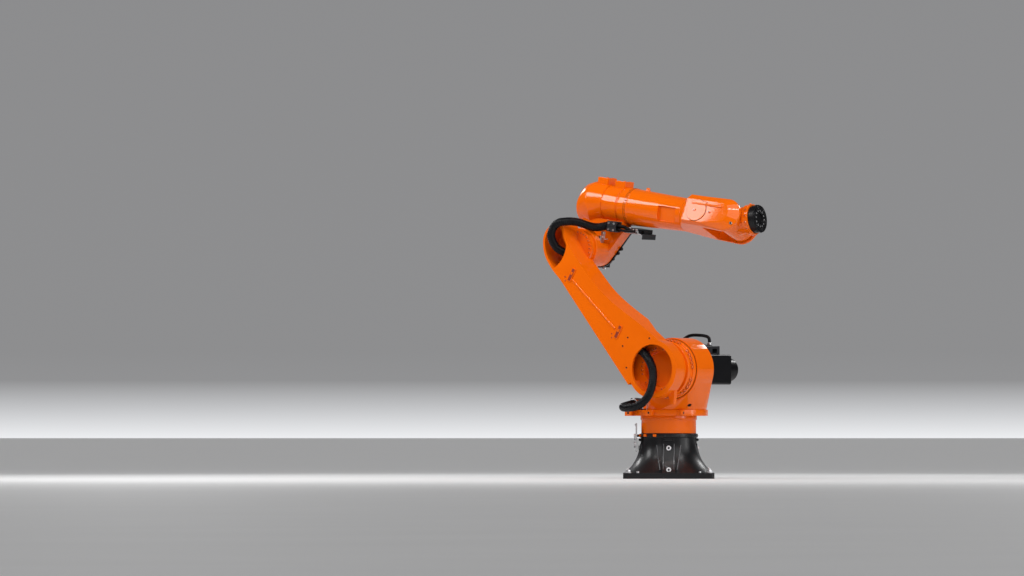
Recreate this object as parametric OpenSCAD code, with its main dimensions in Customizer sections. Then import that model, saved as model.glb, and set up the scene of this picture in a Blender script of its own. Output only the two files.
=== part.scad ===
// Six-axis industrial robot arm on a cast pedestal, shown in a folded-back working pose.
// Frame: +Z up, origin at the centre of the foot plate's underside, millimetres.
// The link arm runs on the right-hand (-Y) side of the turning column.

/* [Pose] */
// Turn of the column about the vertical axis
slew_rest = -35; // [-180:1:180]
// Backward lean of the link arm from upright
arm_lean = 41; // [0:1:50]
// Downward tilt of the forearm from level
forearm_pitch = 8; // [-20:1:30]
// Roll of the wrist about the forearm
roll_rest = -20; // [-90:1:90]
// Bend of the hand, negative is up
bend_rest = -15; // [-60:1:60]

/* [Pedestal] */
// Side of the square foot plate
foot_size = 500; // [460:10:560]
// Thickness of the foot plate
foot_thick = 32; // [24:1:40]
// Distance between neighbouring anchor holes
anchor_pitch = 444; // [420:2:450]
// Diameter of an anchor hole
anchor_d = 22; // [14:1:24]
// Height of the pedestal's top face
base_height = 247; // [230:1:280]
// Diameter of the bearing ring on top of the pedestal
ring_d = 320; // [310:2:340]
// Thickness of the bearing ring
ring_thick = 22; // [16:1:30]
// Half width of the pedestal where it leaves the foot plate
flare_half = 245; // [225:1:248]
// Half width of the pedestal under the bearing ring
waist_half = 147; // [140:1:152]
// Width of the stiffening rib on each side
rib_w = 72; // [50:1:90]
// Height of the connection panel behind the pedestal
panel_h = 160; // [120:5:180]
// Width of the connection panel
panel_w = 140; // [100:5:180]

/* [Column] */
// Diameter of the turning drum
drum_d = 302; // [290:2:306]
// Height of the turning drum
drum_h = 98; // [80:1:110]
// Thickness of the carrier plate on the drum
plate_t = 33; // [24:1:40]
// Forward offset of the shoulder axis from the turning axis
shoulder_x = 130; // [120:1:140]
// Height of the shoulder axis
shoulder_z = 600; // [590:1:620]
// Radius of the shoulder housing
housing_r = 172; // [166:1:180]
// Width of the shoulder housing along its axis
housing_w = 155; // [145:1:160]
// Distance of the shoulder gear's face from the centre plane
gear_face = 215; // [205:1:222]
// Side of the square shoulder motor
motor_side = 165; // [140:1:170]
// Length of the shoulder motor's body
motor_len = 240; // [200:5:260]
// Length of the round end of the shoulder motor
motor_cap_len = 98; // [60:1:110]

/* [Link arm] */
// Distance between the shoulder and elbow axes
arm_len = 890; // [860:5:940]
// Distance of the arm's outer face from the centre plane
arm_outer = 345; // [338:1:352]
// Thickness of the arm at the shoulder
arm_foot_t = 83; // [76:1:90]
// Thickness of the arm at the elbow
arm_head_t = 145; // [138:1:150]
// Radius of the arm's lower end
arm_foot_r = 160; // [156:1:166]
// Radius of the round seat of the elbow gear on the arm
arm_head_r = 98; // [92:1:104]
// Radius of the hose opening at the shoulder
foot_opening_r = 134; // [120:1:138]
// Wall of the hollow arm
arm_wall = 14; // [10:1:18]

/* [Elbow] */
// Radius of the elbow gear flange
elbow_r = 110; // [104:1:114]
// Radius of the elbow gear case
case_r = 100; // [94:1:106]
// Height of the forearm's axis over the elbow axis
forearm_rise = 255; // [250:1:265]
// Thickness of the motor plate
motor_plate_t = 17; // [12:1:22]
// Radius of the elbow motor
elbow_motor_r = 58; // [52:1:62]
// Length of the elbow motor
elbow_motor_len = 118; // [100:2:130]

/* [Forearm] */
// Radius of the forearm where it turns
tube_r = 104; // [98:1:108]
// Radius of the forearm at the wrist
tube_end_r = 91; // [85:1:95]
// Distance of the rolling joint in front of the elbow
roll_x = 185; // [180:1:200]
// Distance of the wrist axis in front of the elbow
wrist_x = 870; // [860:5:920]
// Length of the forearm behind the elbow
tail_len = 145; // [140:5:170]

/* [Wrist] */
// Radius of the fork's round ends
fork_r = 92; // [86:1:96]
// Half width of the slot between the fork's sides
slot_half = 93; // [92:1:96]
// Outer face of the fork on the gear side
fork_near = 140; // [132:1:146]
// Outer face of the fork on the bearing side
fork_far = 132; // [124:1:138]
// Radius of the hand
hand_r = 84; // [78:1:86]
// Distance of the tool face from the wrist axis
tool_x = 158; // [156:1:175]

/* [Tool flange] */
// Diameter of the tool flange
flange_d = 152; // [148:1:160]
// Thickness of the tool flange
flange_t = 36; // [32:1:44]
// Bolt circle of the tool flange
tool_pcd = 125; // [100:1:126]
// Diameter of a tool bolt hole
tool_hole_d = 10; // [6:1:12]
// Diameter of the centring bore
pilot_d = 63; // [40:1:80]

/* [Hoses] */
// Outer diameter of the supply hose
hose_d = 46; // [40:1:48]
// Outer diameter of a motor cable
cable_d = 18; // [12:1:20]

/* [Hidden] */
$fn = 96;
running_gap = 0.5;
clear = 5;
eps = 1;

paint = "#ff6a00";
cast_black = "#141416";
motor_black = "#0c0c0e";
bare_steel = "#c8c8cc";
dark_steel = "#3a3c40";
rubber = "#17181a";

// Heights of the lower build
drum_z = base_height + running_gap;
plate_z = base_height + drum_h;
plate_top = plate_z + plate_t;

// Faces along the shoulder axis, measured from the centre plane
flange_face = gear_face + running_gap;
arm_foot_face = arm_outer - arm_foot_t;
arm_head_face = arm_outer - arm_head_t;

module column_frame() rotate([0, 0, slew_rest]) children();

module shoulder_frame() column_frame() translate([shoulder_x, 0, shoulder_z]) children();

// +Z runs from the shoulder axis to the elbow axis
module arm_frame() shoulder_frame() rotate([0, -arm_lean, 0]) children();

// +X runs along the forearm, the origin is on the elbow axis
module elbow_frame()
    arm_frame() translate([0, 0, arm_len]) rotate([0, arm_lean + forearm_pitch, 0]) children();

// The origin is on the forearm's own axis
module forearm_frame() elbow_frame() translate([0, 0, forearm_rise]) children();

module wrist_frame() forearm_frame() rotate([roll_rest, 0, 0]) children();

module hand_frame() wrist_frame() translate([wrist_x, 0, 0]) rotate([0, bend_rest, 0]) children();

// A cylinder along Y between two faces given as distances to the -Y side
module side_cylinder(r, from, to) translate([0, -from, 0]) rotate([90, 0, 0]) cylinder(r = r, h = to - from);

// Extrudes an outline of the X-Z plane between two faces on the -Y side
module side_plate(from, to) translate([0, -from, 0]) rotate([90, 0, 0]) linear_extrude(to - from) children();

// A solid of revolution about X from [x, radius] pairs
module turned(profile)
    rotate([0, 90, 0]) rotate([0, 0, 90]) rotate_extrude()
        polygon([for (p = profile) [p[1], p[0]]]);

module rounded_square(side, r) offset_square(side - 2 * r, r);

// A square with true round corners
module offset_square(inner, r) {
    square([inner + 2 * r, inner], center = true);
    square([inner, inner + 2 * r], center = true);
    for (x = [-1, 1], y = [-1, 1]) translate([x, y] * inner / 2) circle(r);
}

// Points along a smooth curve through a route
function at(p, i) = p[min(max(i, 0), len(p) - 1)];
function blend_point(a, b, c, d, t) =
    ((2 * b) + (c - a) * t + (2 * a - 5 * b + 4 * c - d) * t * t + (3 * b - a - 3 * c + d) * t * t * t) / 2;
function smooth_route(p, n) = concat(
    [for (i = [0 : len(p) - 2]) for (k = [0 : n - 1])
        blend_point(at(p, i - 1), p[i], p[i + 1], at(p, i + 2), k / n)],
    [p[len(p) - 1]]);
function unit(v) = v / norm(v);
function heading(p, i) = unit(at(p, i + 1) - at(p, i - 1));
function carried(p, i, n) = i >= len(p) ? [] :
    let (t = heading(p, i), m = unit(n - (n * t) * t)) concat([m], carried(p, i + 1, m));

// Faces that close a stack of rings, ring after ring, each of the same number of points
function ring_faces(rings, sides) = concat(
    [for (i = [0 : rings - 2]) for (k = [0 : sides - 1])
        let (a = i * sides + k, b = i * sides + (k + 1) % sides)
        each [[a, a + sides, b + sides], [a, b + sides, b]]],
    [[for (k = [0 : sides - 1]) k]],
    [[for (k = [0 : sides - 1]) rings * sides - 1 - k]]);

module tube(route, d, start_normal = [0, 1, 0.1], sides = 12, per_span = 2) {
    path = smooth_route(route, per_span);
    normals = carried(path, 0, start_normal);
    points = [for (i = [0 : len(path) - 1])
        let (t = heading(path, i), m = normals[i], b = cross(t, m))
        for (k = [0 : sides - 1])
            path[i] + d / 2 * (cos(360 * k / sides) * m + sin(360 * k / sides) * b)];
    polyhedron(points, ring_faces(len(path), sides));
}

// Pedestal

module anchor_pattern()
    for (x = [-1, 1], y = [-1, 1]) translate([x, y] * anchor_pitch / 2) circle(d = anchor_d, $fn = 32);

foot_corner = 18;
module foot_plate() color(cast_black)
    linear_extrude(foot_thick) difference() {
        rounded_square(foot_size, foot_corner);
        anchor_pattern();
    }

pedestal_top = base_height - ring_thick;
lobe_low = 115;
lobe_high = 40;
flare_power = 2.4;
function flare(z) = pow((pedestal_top - z) / (pedestal_top - foot_thick), flare_power);
function half_width(z) = waist_half + (flare_half - waist_half) * flare(z);
function lobe_offset(z) = lobe_high + (lobe_low - lobe_high) * flare(z);
// Radius of a four-lobed section, the lobes pointing at the corners
function lobed_radius(z, a) =
    let (c = lobe_offset(z), r = half_width(z) - c, d = c * sqrt(2), s = (a % 90) - 45)
    d * cos(s) + sqrt(r * r - d * d * sin(s) * sin(s));

pedestal_sides = 72;
pedestal_rings = 10;
rib_low_y = 232;
rib_high_y = 153;
rib_root = 60;
rib_steps = 8;
function rib_face(z) = rib_high_y + (rib_low_y - rib_high_y) * flare(z);
function pedestal_z(t) = foot_thick + (pedestal_top - foot_thick) * t;

module pedestal() color(cast_black) difference() {
    union() {
        polyhedron(
            [for (i = [0 : pedestal_rings - 1]) let (z = pedestal_z(i / (pedestal_rings - 1)))
                for (k = [0 : pedestal_sides - 1]) let (a = 360 * k / pedestal_sides, r = lobed_radius(z, a))
                    [r * cos(a), r * sin(a), z]],
            ring_faces(pedestal_rings, pedestal_sides));
        for (turn = [0 : 90 : 270]) rotate([0, 0, turn]) rib();
    }
    for (turn = [0 : 90 : 270], z = [boss_low_z, boss_high_z]) rotate([0, 0, turn])
        translate([0, -rib_face(z) - boss_proud - eps, z]) rotate([-90, 0, 0])
            cylinder(d = boss_d + 2 * running_gap, h = boss_len + eps, $fn = 32);
}

// A flat bar up each side, following the pedestal's flare
module rib() rotate([90, 0, 90]) translate([0, 0, -rib_w / 2]) linear_extrude(rib_w)
    polygon(concat(
        [for (i = [0 : rib_steps]) let (z = pedestal_z(i / rib_steps)) [-rib_face(z), z]],
        [[-rib_root, pedestal_top], [-rib_root, foot_thick]]));

boss_d = 27;
boss_len = 14;
boss_proud = 4;
boss_rise = 17;
boss_drop = 57;
boss_low_z = foot_thick + boss_rise;
boss_high_z = pedestal_top - boss_drop;

module rib_bosses() color(bare_steel)
    for (turn = [0 : 90 : 270], z = [boss_low_z, boss_high_z]) rotate([0, 0, turn])
        translate([0, -rib_face(z) - boss_proud, z]) rotate([-90, 0, 0])
            cylinder(d = boss_d, h = boss_len, $fn = 32);

module bearing_ring() color(cast_black) translate([0, 0, pedestal_top]) cylinder(d = ring_d, h = ring_thick);

stop_t = 9;
stop_w = 18;
stop_low = 5;
stop_high = 2;
stop_turns = [195, 218, 242];
module slew_stops() color(paint)
    for (turn = stop_turns) rotate([0, 0, turn])
        translate([ring_d / 2, -stop_w / 2, pedestal_top + stop_low])
            cube([stop_t, stop_w, ring_thick - stop_low - stop_high]);

panel_gap = 14;
panel_t = 8;
bracket_w = 50;
bracket_h = 14;
bracket_low = 4;
module panel_bracket() color(cast_black)
    difference() {
        translate([-ring_d / 2 - panel_gap, -bracket_w / 2, pedestal_top + bracket_low])
            cube([panel_gap + ring_d / 4, bracket_w, bracket_h]);
        translate([0, 0, pedestal_top]) cylinder(d = ring_d, h = ring_thick);
    }

module rear_panel() color(bare_steel)
    translate([-ring_d / 2 - panel_gap - panel_t, -panel_w / 2, pedestal_top - panel_h / 2])
        cube([panel_t, panel_w, panel_h]);

// Turning column

drum_lip = 4;
lip_h = 22;
module slew_drum() color(paint) column_frame() translate([0, 0, drum_z]) {
    cylinder(d = drum_d, h = drum_h - running_gap);
    translate([0, 0, drum_h - running_gap - lip_h]) cylinder(d = drum_d + 2 * drum_lip, h = lip_h);
}

carrier_r = 178;
lug_size = 46;
deck_rear = -165;
deck_front = 150;
deck_rear_y = 130;
deck_front_y = 105;
foot_disc_r = 165;
foot_x = 45;
foot_y = 10;
foot_rim = 4;
lug_lap = 8;
lugs = [[deck_rear, -deck_rear_y], [deck_rear, deck_rear_y], [deck_front, -deck_front_y],
    [deck_front, deck_front_y], [0, -carrier_r + lug_lap], [0, carrier_r - lug_lap]];

module carrier_plate() color(paint) column_frame() translate([0, 0, plate_z])
    linear_extrude(plate_t) {
        circle(carrier_r);
        translate([foot_x, foot_y]) circle(foot_disc_r + foot_rim);
        for (p = lugs) translate(p) square(lug_size, center = true);
        translate([deck_rear, -deck_rear_y]) square([deck_front - deck_rear, 2 * deck_rear_y]);
    }

cavity_r = 148;
web_y = 40;
foot_rise = 6;
module column_housing() color(paint) difference() {
    hull() {
        shoulder_frame() side_cylinder(housing_r, 0, housing_w, $fn = 64);
        column_frame() translate([foot_x, foot_y, plate_top])
            cylinder(r = foot_disc_r, h = foot_rise, $fn = 64);
    }
    shoulder_frame() side_cylinder(cavity_r, -foot_disc_r - housing_r, web_y);
    column_frame() translate([slew_motor_x, slew_motor_y, plate_top - eps])
        motor_body(slew_motor_side + gearbox_rim + 2 * clear, gearbox_h + housing_r);
}

gear_rim = 28;
gear_step = 8;
gear_neck = 20;
module shoulder_gear() color(paint) shoulder_frame() {
    side_cylinder(housing_r - gear_step, housing_w, housing_w + gear_rim);
    side_cylinder(housing_r - gear_neck, housing_w + gear_rim, gear_face);
}

adaptor_r = 102;
adaptor_len = 60;
adaptor_neck = 14;
adaptor_step = 8;
module motor_adaptor() color(paint) shoulder_frame() {
    side_cylinder(adaptor_r, -adaptor_len + adaptor_neck, web_y);
    side_cylinder(adaptor_r - adaptor_step, -adaptor_len, -adaptor_len + adaptor_neck);
}

motor_corner = 12;
module motor_body(side, len) linear_extrude(len) rounded_square(side, motor_corner);

module shoulder_motor() color(motor_black) shoulder_frame()
    translate([0, adaptor_len, 0]) rotate([-90, 0, 0]) motor_body(motor_side, motor_len);

motor_cap_r = 66;
module shoulder_motor_cap() color(motor_black) shoulder_frame()
    side_cylinder(motor_cap_r, -adaptor_len - motor_len - motor_cap_len, -adaptor_len - motor_len);

terminal_h = 48;
terminal_w = 64;
terminal_x = -45;
terminal_end = 20;
terminal_gap = 46;
terminal_sill = 8;
terminal_arch = 24;
module motor_terminals() color(dark_steel) shoulder_frame()
    translate([terminal_x, adaptor_len + terminal_end, motor_side / 2]) difference() {
        cube([terminal_w, motor_len - 2 * terminal_end, terminal_h]);
        for (y = [52, 130]) translate([-eps, y, terminal_sill])
            cube([terminal_w + 2 * eps, terminal_gap, terminal_arch]);
    }

slew_motor_x = -140;
slew_motor_y = 95;
slew_motor_side = 138;
slew_motor_len = 255;
slew_cap_r = 52;
slew_cap_len = 26;
gearbox_h = 112;
gearbox_rim = 8;
gearbox_top = 24;
gearbox_waist = 14;
module slew_gearbox() color(paint) column_frame()
    translate([slew_motor_x, slew_motor_y, plate_top]) {
        motor_body(slew_motor_side - gearbox_waist, gearbox_h - gearbox_top);
        translate([0, 0, gearbox_h - gearbox_top]) motor_body(slew_motor_side + gearbox_rim, gearbox_top);
    }

slew_motor_z = plate_top + gearbox_h;
module slew_motor() color(motor_black) column_frame()
    translate([slew_motor_x, slew_motor_y, slew_motor_z]) motor_body(slew_motor_side, slew_motor_len);

module slew_motor_cap() color(motor_black) column_frame()
    translate([slew_motor_x, slew_motor_y, slew_motor_z + slew_motor_len])
        cylinder(r = slew_cap_r, h = slew_cap_len);

// Sockets of the motor cable, one on each motor
plug_d = 26;
plug_len = 20;
plug_gap = 0.3;
terminal_plug = [110, 235, shoulder_z + motor_side / 2 + terminal_h];
slew_plug = [slew_motor_x - slew_motor_side / 2, 135, 690];
module cable_plugs() color(bare_steel) column_frame() {
    translate(terminal_plug) cylinder(d = plug_d, h = plug_len);
    translate(slew_plug - [plug_d, plug_d / 2, plug_len]) cube([plug_d, plug_d, 3 * plug_len]);
}

// Loop of the motor cable, from the shoulder motor's socket over to the turning motor's side
slew_plug_foot = slew_plug - [plug_d / 2, 0, plug_len + plug_gap];
cable_route = [for (z = [plug_gap, 6, 12]) terminal_plug + [0, 0, plug_len + z],
    [98, 238, 780], [45, 242, 790], [-35, 241, 786], [-92, 230, 738], [-110, 216, 650], [-120, 206, 550],
    [-132, 198, 470], [-165, 192, 434], [-205, 186, 440], [-226, 172, 490], [-226, 150, 560],
    for (z = [48, 24, 0]) slew_plug_foot - [0, 0, z]];
module motor_cable() color(rubber) column_frame() tube(cable_route, cable_d, [0, 1, 0]);

// Bracket that holds the lower end of the supply hose
hose_end_x = -112;
hose_end_y = -150;
hose_end_z = plate_top + 32;
bracket_t = 6;
bracket_half = 38;
bracket_foot = 34;
module hose_bracket() color(dark_steel) column_frame() {
    translate([hose_end_x - bracket_half, hose_end_y, plate_top])
        cube([2 * bracket_half, bracket_t, 2 * (hose_end_z - plate_top)]);
    translate([hose_end_x - bracket_half, hose_end_y + bracket_t, plate_top])
        cube([2 * bracket_half, bracket_foot, bracket_t]);
}

// Link arm

flange_dish_r = 98;
flange_dish = 24;
flange_step = 22;
module shoulder_flange() color(paint) arm_frame() difference() {
    side_cylinder(arm_foot_r - flange_step, flange_face, arm_foot_face);
    side_cylinder(flange_dish_r, arm_foot_face - flange_dish, arm_foot_face + eps);
}

// The arm's front edge swells from a slim shank into the round foot
shank_front = 17;
shank_rear = 136;
foot_rear = 178;
foot_front = arm_foot_r - 20;
swell_end = 620;
shank_low = 40;
shank_high = arm_len - 110;
shank_steps = 12;
function ease(t) = let (s = min(max(t, 0), 1)) s * s * (3 - 2 * s);
function front_edge(z) = shank_front + (foot_front - shank_front) * (1 - ease(z / swell_end));
function rear_edge(z) = foot_rear + (shank_rear - foot_rear) * z / arm_len;
function shank_z(i) = shank_low + (shank_high - shank_low) * i / shank_steps;

// The head's outline round the elbow axis, from the front edge over the top to the rear edge
head_round = [[18, -85], [22, -40], [30, 9], [40, 46], [62, 92], [60, 120], [46, 142], [18, 156], [-28, 158],
    [-63, 146], [-92, 123], [-122, 80], [-138, 34], [-145, -30], [-143, -85]];
head_top = 170;
arm_edge = concat(
    [for (i = [0 : shank_steps]) [front_edge(shank_z(i)), shank_z(i)]],
    [for (p = smooth_route(head_round, 2)) p + [0, arm_len]],
    [for (i = [shank_steps : -1 : 0]) [-rear_edge(shank_z(i)), shank_z(i)]]);

module arm_outline(inset) {
    circle(arm_foot_r - inset);
    polygon([for (i = [0 : len(arm_edge) - 1])
        let (t = heading(arm_edge, i)) arm_edge[i] + inset * [-t[1], t[0]]]);
}

flare_low = 176;
flare_high = 290;
// Side profile of the arm: thin beside the shoulder gear, deeper above it
module arm_depth(inset)
    polygon([
        [-arm_outer + inset, -arm_foot_r - eps], [-arm_foot_face - inset, -arm_foot_r - eps],
        [-arm_foot_face - inset, flare_low], [-arm_head_face - inset, flare_high],
        [-arm_head_face - inset, arm_len + head_top], [-arm_outer + inset, arm_len + head_top]]);

module arm_mass(inset) intersection() {
    side_plate(0, arm_outer + eps) arm_outline(inset);
    rotate([90, 0, 90]) translate([0, 0, -foot_rear - eps]) linear_extrude(2 * foot_rear) arm_depth(inset);
}

head_opening = [-96, 122];
head_opening_r = 161;
seat_t = 30;
lug_t = 26;
lug_drop = arm_foot_r + 34;
stop_lug = [[66, -125], [112, -95], [104, -lug_drop], [80, -lug_drop]];
module link_arm() color(paint) arm_frame() difference() {
    union() {
        arm_mass(0);
        translate([0, 0, arm_len]) side_cylinder(arm_head_r, arm_head_face, arm_head_face + seat_t);
        rotate([0, arm_lean, 0]) side_plate(arm_foot_face, arm_foot_face + lug_t) polygon(stop_lug);
    }
    arm_mass(arm_wall);
    side_cylinder(flange_dish_r, arm_foot_face - eps, arm_foot_face + arm_wall + eps);
    side_cylinder(foot_opening_r, arm_foot_face + arm_wall, arm_outer + eps);
    intersection() {
        side_plate(arm_outer - arm_wall - eps, arm_outer + eps) arm_outline(arm_wall);
        translate([head_opening[0], 0, arm_len + head_opening[1]])
            side_cylinder(head_opening_r, arm_outer - 3 * arm_wall, arm_outer + eps);
    }
}

clip_t = 5;
clip_len = 76;
clip_w = 20;
clip_turn = 12;
clips = [[-65, arm_len - 144], [-35, 301]];
module arm_clips() color(paint) arm_frame()
    for (p = clips) translate([p[0], -arm_outer - clip_t / 2, p[1]]) rotate([0, clip_turn, 0])
        cube([clip_len, clip_t, clip_w], center = true);

hose_x = -30;
hose_y = (arm_outer + arm_head_face) / 2 + 4;
arm_hose_low = 290;
arm_hose_high = arm_len - 90;
hose_gap = 0.3;
module arm_hose() color(rubber) arm_frame()
    translate([hose_x, -hose_y, arm_hose_low]) cylinder(d = hose_d, h = arm_hose_high - arm_hose_low);

// A point on the arm's hose line, in the column's frame and in the elbow's frame
function arm_point(z) = [shoulder_x + hose_x * cos(arm_lean) - z * sin(arm_lean), -hose_y,
    shoulder_z + hose_x * sin(arm_lean) + z * cos(arm_lean)];
elbow_turn = arm_lean + forearm_pitch;
function elbow_point(z) = [hose_x * cos(elbow_turn) - (z - arm_len) * sin(elbow_turn), -hose_y,
    hose_x * sin(elbow_turn) + (z - arm_len) * cos(elbow_turn)];

// Loop of the lower hose, from its bracket round under the arm and up into the arm's lower opening
lower_route = [[hose_end_x, hose_end_y - hose_gap, hose_end_z], [hose_end_x, -172, hose_end_z],
    [hose_end_x, -196, hose_end_z - 2], [-114, -240, 400], [-98, -292, 394], [-58, -342, 390], [4, -376, 390],
    [80, -392, 404], [138, -394, 450], [164, -388, 520], [158, -376, 588], [126, -356, 636], [88, -330, 664],
    [50, -308, 688], [14, -307, 711], [-18, -296, 736],
    for (z = [58, 29, hose_gap]) arm_point(arm_hose_low - z)];
module lower_hose() color(rubber) column_frame() tube(lower_route, hose_d, [0, 0, 1]);

// Elbow

gear_boss_len = 46;
plate_y = 5;
neck_w = 75;
neck_rear = -95;
neck_front = 176;
neck_top = 170;
brow = [184, 112];
case_x = -15;
outline_steps = 40;
module elbow_gear() color(paint) elbow_frame()
    side_cylinder(elbow_r, arm_head_face - gear_boss_len, arm_head_face - running_gap);

// Side outline of the elbow: a round foot with a sloping front up to the brow
function tangent_angle(p, r, side) =
    let (d = p - [case_x, 0]) atan2(d[1], d[0]) + side * acos(r / norm(d));
module elbow_outline(r, top) {
    rear = tangent_angle([neck_rear, top], r, 1);
    front = tangent_angle(brow, r, -1) + 360;
    polygon(concat(
        [for (i = [0 : outline_steps]) let (a = rear + (front - rear) * i / outline_steps)
            [case_x, 0] + r * [cos(a), sin(a)]],
        top > brow[1] ? [brow, [neck_front, top]] : [[brow[0], top]],
        [[neck_rear, top]]));
}

case_top = 40;
case_rim = 4;
module elbow_housing() color(paint) elbow_frame() difference() {
    union() {
        side_plate(-plate_y, neck_w) elbow_outline(case_r, neck_top);
        side_plate(neck_w - eps, arm_head_face - gear_boss_len) difference() {
            circle(case_r + case_rim);
            translate([-2 * case_r, case_top]) square([4 * case_r, case_r]);
        }
    }
    translate([0, 0, forearm_rise]) rear_mass(hidden_gap);
}

hidden_gap = 0.2;
plate_rim = 5;
module motor_plate() color(motor_black) elbow_frame()
    side_plate(-plate_y - motor_plate_t, -plate_y) elbow_outline(case_r + plate_rim, brow[1]);

motor_x = -30;
motor_z = 5;
motor_face = plate_y + motor_plate_t;
elbow_cap_len = 30;
terminal_half = 32;
terminal_inset = 14;
terminal_rise = 16;
terminal_drop = 50;
elbow_terminal_len = elbow_motor_len - elbow_cap_len - 2 * terminal_inset;
module elbow_motor() color(motor_black) elbow_frame() translate([motor_x, 0, motor_z]) {
    side_cylinder(elbow_motor_r, -motor_face - elbow_motor_len + elbow_cap_len, -motor_face);
    translate([-terminal_half, motor_face + terminal_inset, -elbow_motor_r - terminal_drop])
        cube([2 * terminal_half, elbow_terminal_len, 2 * elbow_motor_r + terminal_drop + terminal_rise]);
}

cap_step = 8;
module elbow_motor_cap() color(motor_black) elbow_frame() translate([motor_x, 0, motor_z])
    side_cylinder(elbow_motor_r - cap_step, -motor_face - elbow_motor_len,
        -motor_face - elbow_motor_len + elbow_cap_len);

// Plugs under the elbow motor
elbow_plug_d = 26;
elbow_plug_len = 12;
elbow_plug_y = motor_face + terminal_inset + elbow_terminal_len / 2;
elbow_plug_z = motor_z - elbow_motor_r - terminal_drop - elbow_plug_len;
module elbow_plugs() color(bare_steel) elbow_frame()
    for (x = [-1, 1]) translate([motor_x + x * terminal_half / 2, elbow_plug_y, elbow_plug_z])
        cylinder(d = elbow_plug_d, h = elbow_plug_len);

// A round section of the tail at a distance along the forearm
disc_t = 4;
module tail_disc(u, r, drop, grow) translate([u, 0, -drop]) rotate([0, 90, 0])
    cylinder(r = r + grow, h = disc_t, $fn = 48);

// Sections of the tail: distance along the forearm, radius, drop under the forearm's axis
tail_discs = [[-tail_len, tube_r - 22, 30], [-tail_len + 12, tube_r - 10, 28],
    [-tail_len + 12, tube_r - 20, 8], [-108, 102, 2], [-72, 112, 0], [-50, 110, 23], [28, tube_r + 2, 0]];
groove_half = 5;
groove_floor = 3;
groove_t = 4;
neck_step = 2;
roll_band = 30;
module rear_mass(grow) {
    hull() for (d = tail_discs) tail_disc(d[0], d[1], d[2], grow);
    turned([[0, 0], [0, tube_r - neck_step + grow], [groove_u - groove_half, tube_r - neck_step + grow],
        [groove_u - groove_floor, tube_r - neck_step - groove_t + grow],
        [groove_u + groove_floor, tube_r - neck_step - groove_t + grow],
        [groove_u + groove_half, tube_r - neck_step + grow], [roll_x - roll_band, tube_r + grow],
        [roll_x - running_gap, tube_r + grow], [roll_x - running_gap, 0]]);
}

groove_u = 133;
pad_half = 42;
// Start along the forearm, length and height of each pad
pads = [[-46, 67, 139], [73, 66, 132]];
module rear_housing() color(paint) forearm_frame() {
    rear_mass(0);
    for (p = pads) translate([p[0], -pad_half, 0]) cube([p[1], 2 * pad_half, p[2]]);
}

clamp_x = 112;
clamp_z = 138;
clamp_half = 29;
clamp_len = 58;
clamp_off = 27;
clamp_y = -neck_w - clamp_off;
module hose_clamp() color(dark_steel) elbow_frame()
    translate([clamp_x, 0, clamp_z]) difference() {
        translate([0, clamp_y - clamp_half, -clamp_half])
            cube([clamp_len, clamp_half + clamp_off, 2 * clamp_half]);
        translate([-eps, clamp_y, 0]) rotate([0, 90, 0])
            cylinder(d = hose_d + 2 * hose_gap, h = clamp_len + 2 * eps, $fn = 48);
    }

// Sheet bracket on the flat of the elbow case
side_x = -24;
side_leg = 20;
side_span = 90;
side_deep = 44;
side_low = 34;
side_high = 38;
side_web = 30;
side_gap = 8;
module side_bracket() color(bare_steel) elbow_frame()
    translate([side_x, -arm_head_face + gear_boss_len + side_gap, case_top]) {
        cube([side_leg, side_deep, side_low]);
        translate([side_span, 0, 0]) cube([side_leg, side_deep, side_high]);
        translate([side_leg, side_web, 0]) cube([side_span - side_leg, sheet_t, side_web]);
    }

front_y = 62;
front_z = 112;
front_len = 128;
front_drop = 24;
sheet_t = 5;
module front_bracket() color(bare_steel) elbow_frame()
    translate([0, -front_y, front_z]) {
        translate([brow[0] + hidden_gap, 0, 0]) cube([front_len, 2 * front_y, sheet_t]);
        translate([brow[0] + front_len - sheet_t, 0, -front_drop]) cube([sheet_t, 2 * front_y, front_drop]);
    }

block_inset = 14;
block_side = 8;
block_len = 96;
block_h = 24;
module connector_block() color(motor_black) elbow_frame()
    translate([brow[0] + block_inset, -front_y + block_side, front_z + sheet_t])
        cube([block_len, 2 * (front_y - block_side), block_h]);

// Sheet plate with two sockets on the motor side, under the forearm
socket_y = 66;
socket_x = 44;
socket_w = 84;
socket_z = 112;
socket_h = 54;
socket_mid = 28;
socket_r = 13;
socket_len = 14;
sockets = [24, 60];
module socket_plate() color(bare_steel) elbow_frame() {
    translate([socket_x, plate_y, socket_z]) cube([socket_w, socket_y - plate_y, sheet_t]);
    translate([socket_x, socket_y, socket_z]) cube([socket_w, sheet_t, socket_h]);
    for (x = sockets) translate([socket_x + x, socket_y + sheet_t, socket_z + socket_mid]) rotate([-90, 0, 0])
        cylinder(r = socket_r, h = socket_len);
}

// Cable from the sockets round the tail to the elbow motor
elbow_cable_route = [for (y = [hose_gap, 10, 20])
        [socket_x + sockets[0], socket_y + sheet_t + socket_len + y, socket_z + socket_mid],
    [44, 116, 139], [0, 119, 142], [-60, 122, 152], [-115, 122, 160], [-152, 108, 158], [-168, 92, 138],
    [-152, 84, 106], [-122, 80, 80],
    for (x = [28, 14, hose_gap]) [motor_x - terminal_half - x, 78, motor_z + 62]];
module elbow_cables() color(rubber) elbow_frame() tube(elbow_cable_route, cable_d, [0, 0, 1]);

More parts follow.
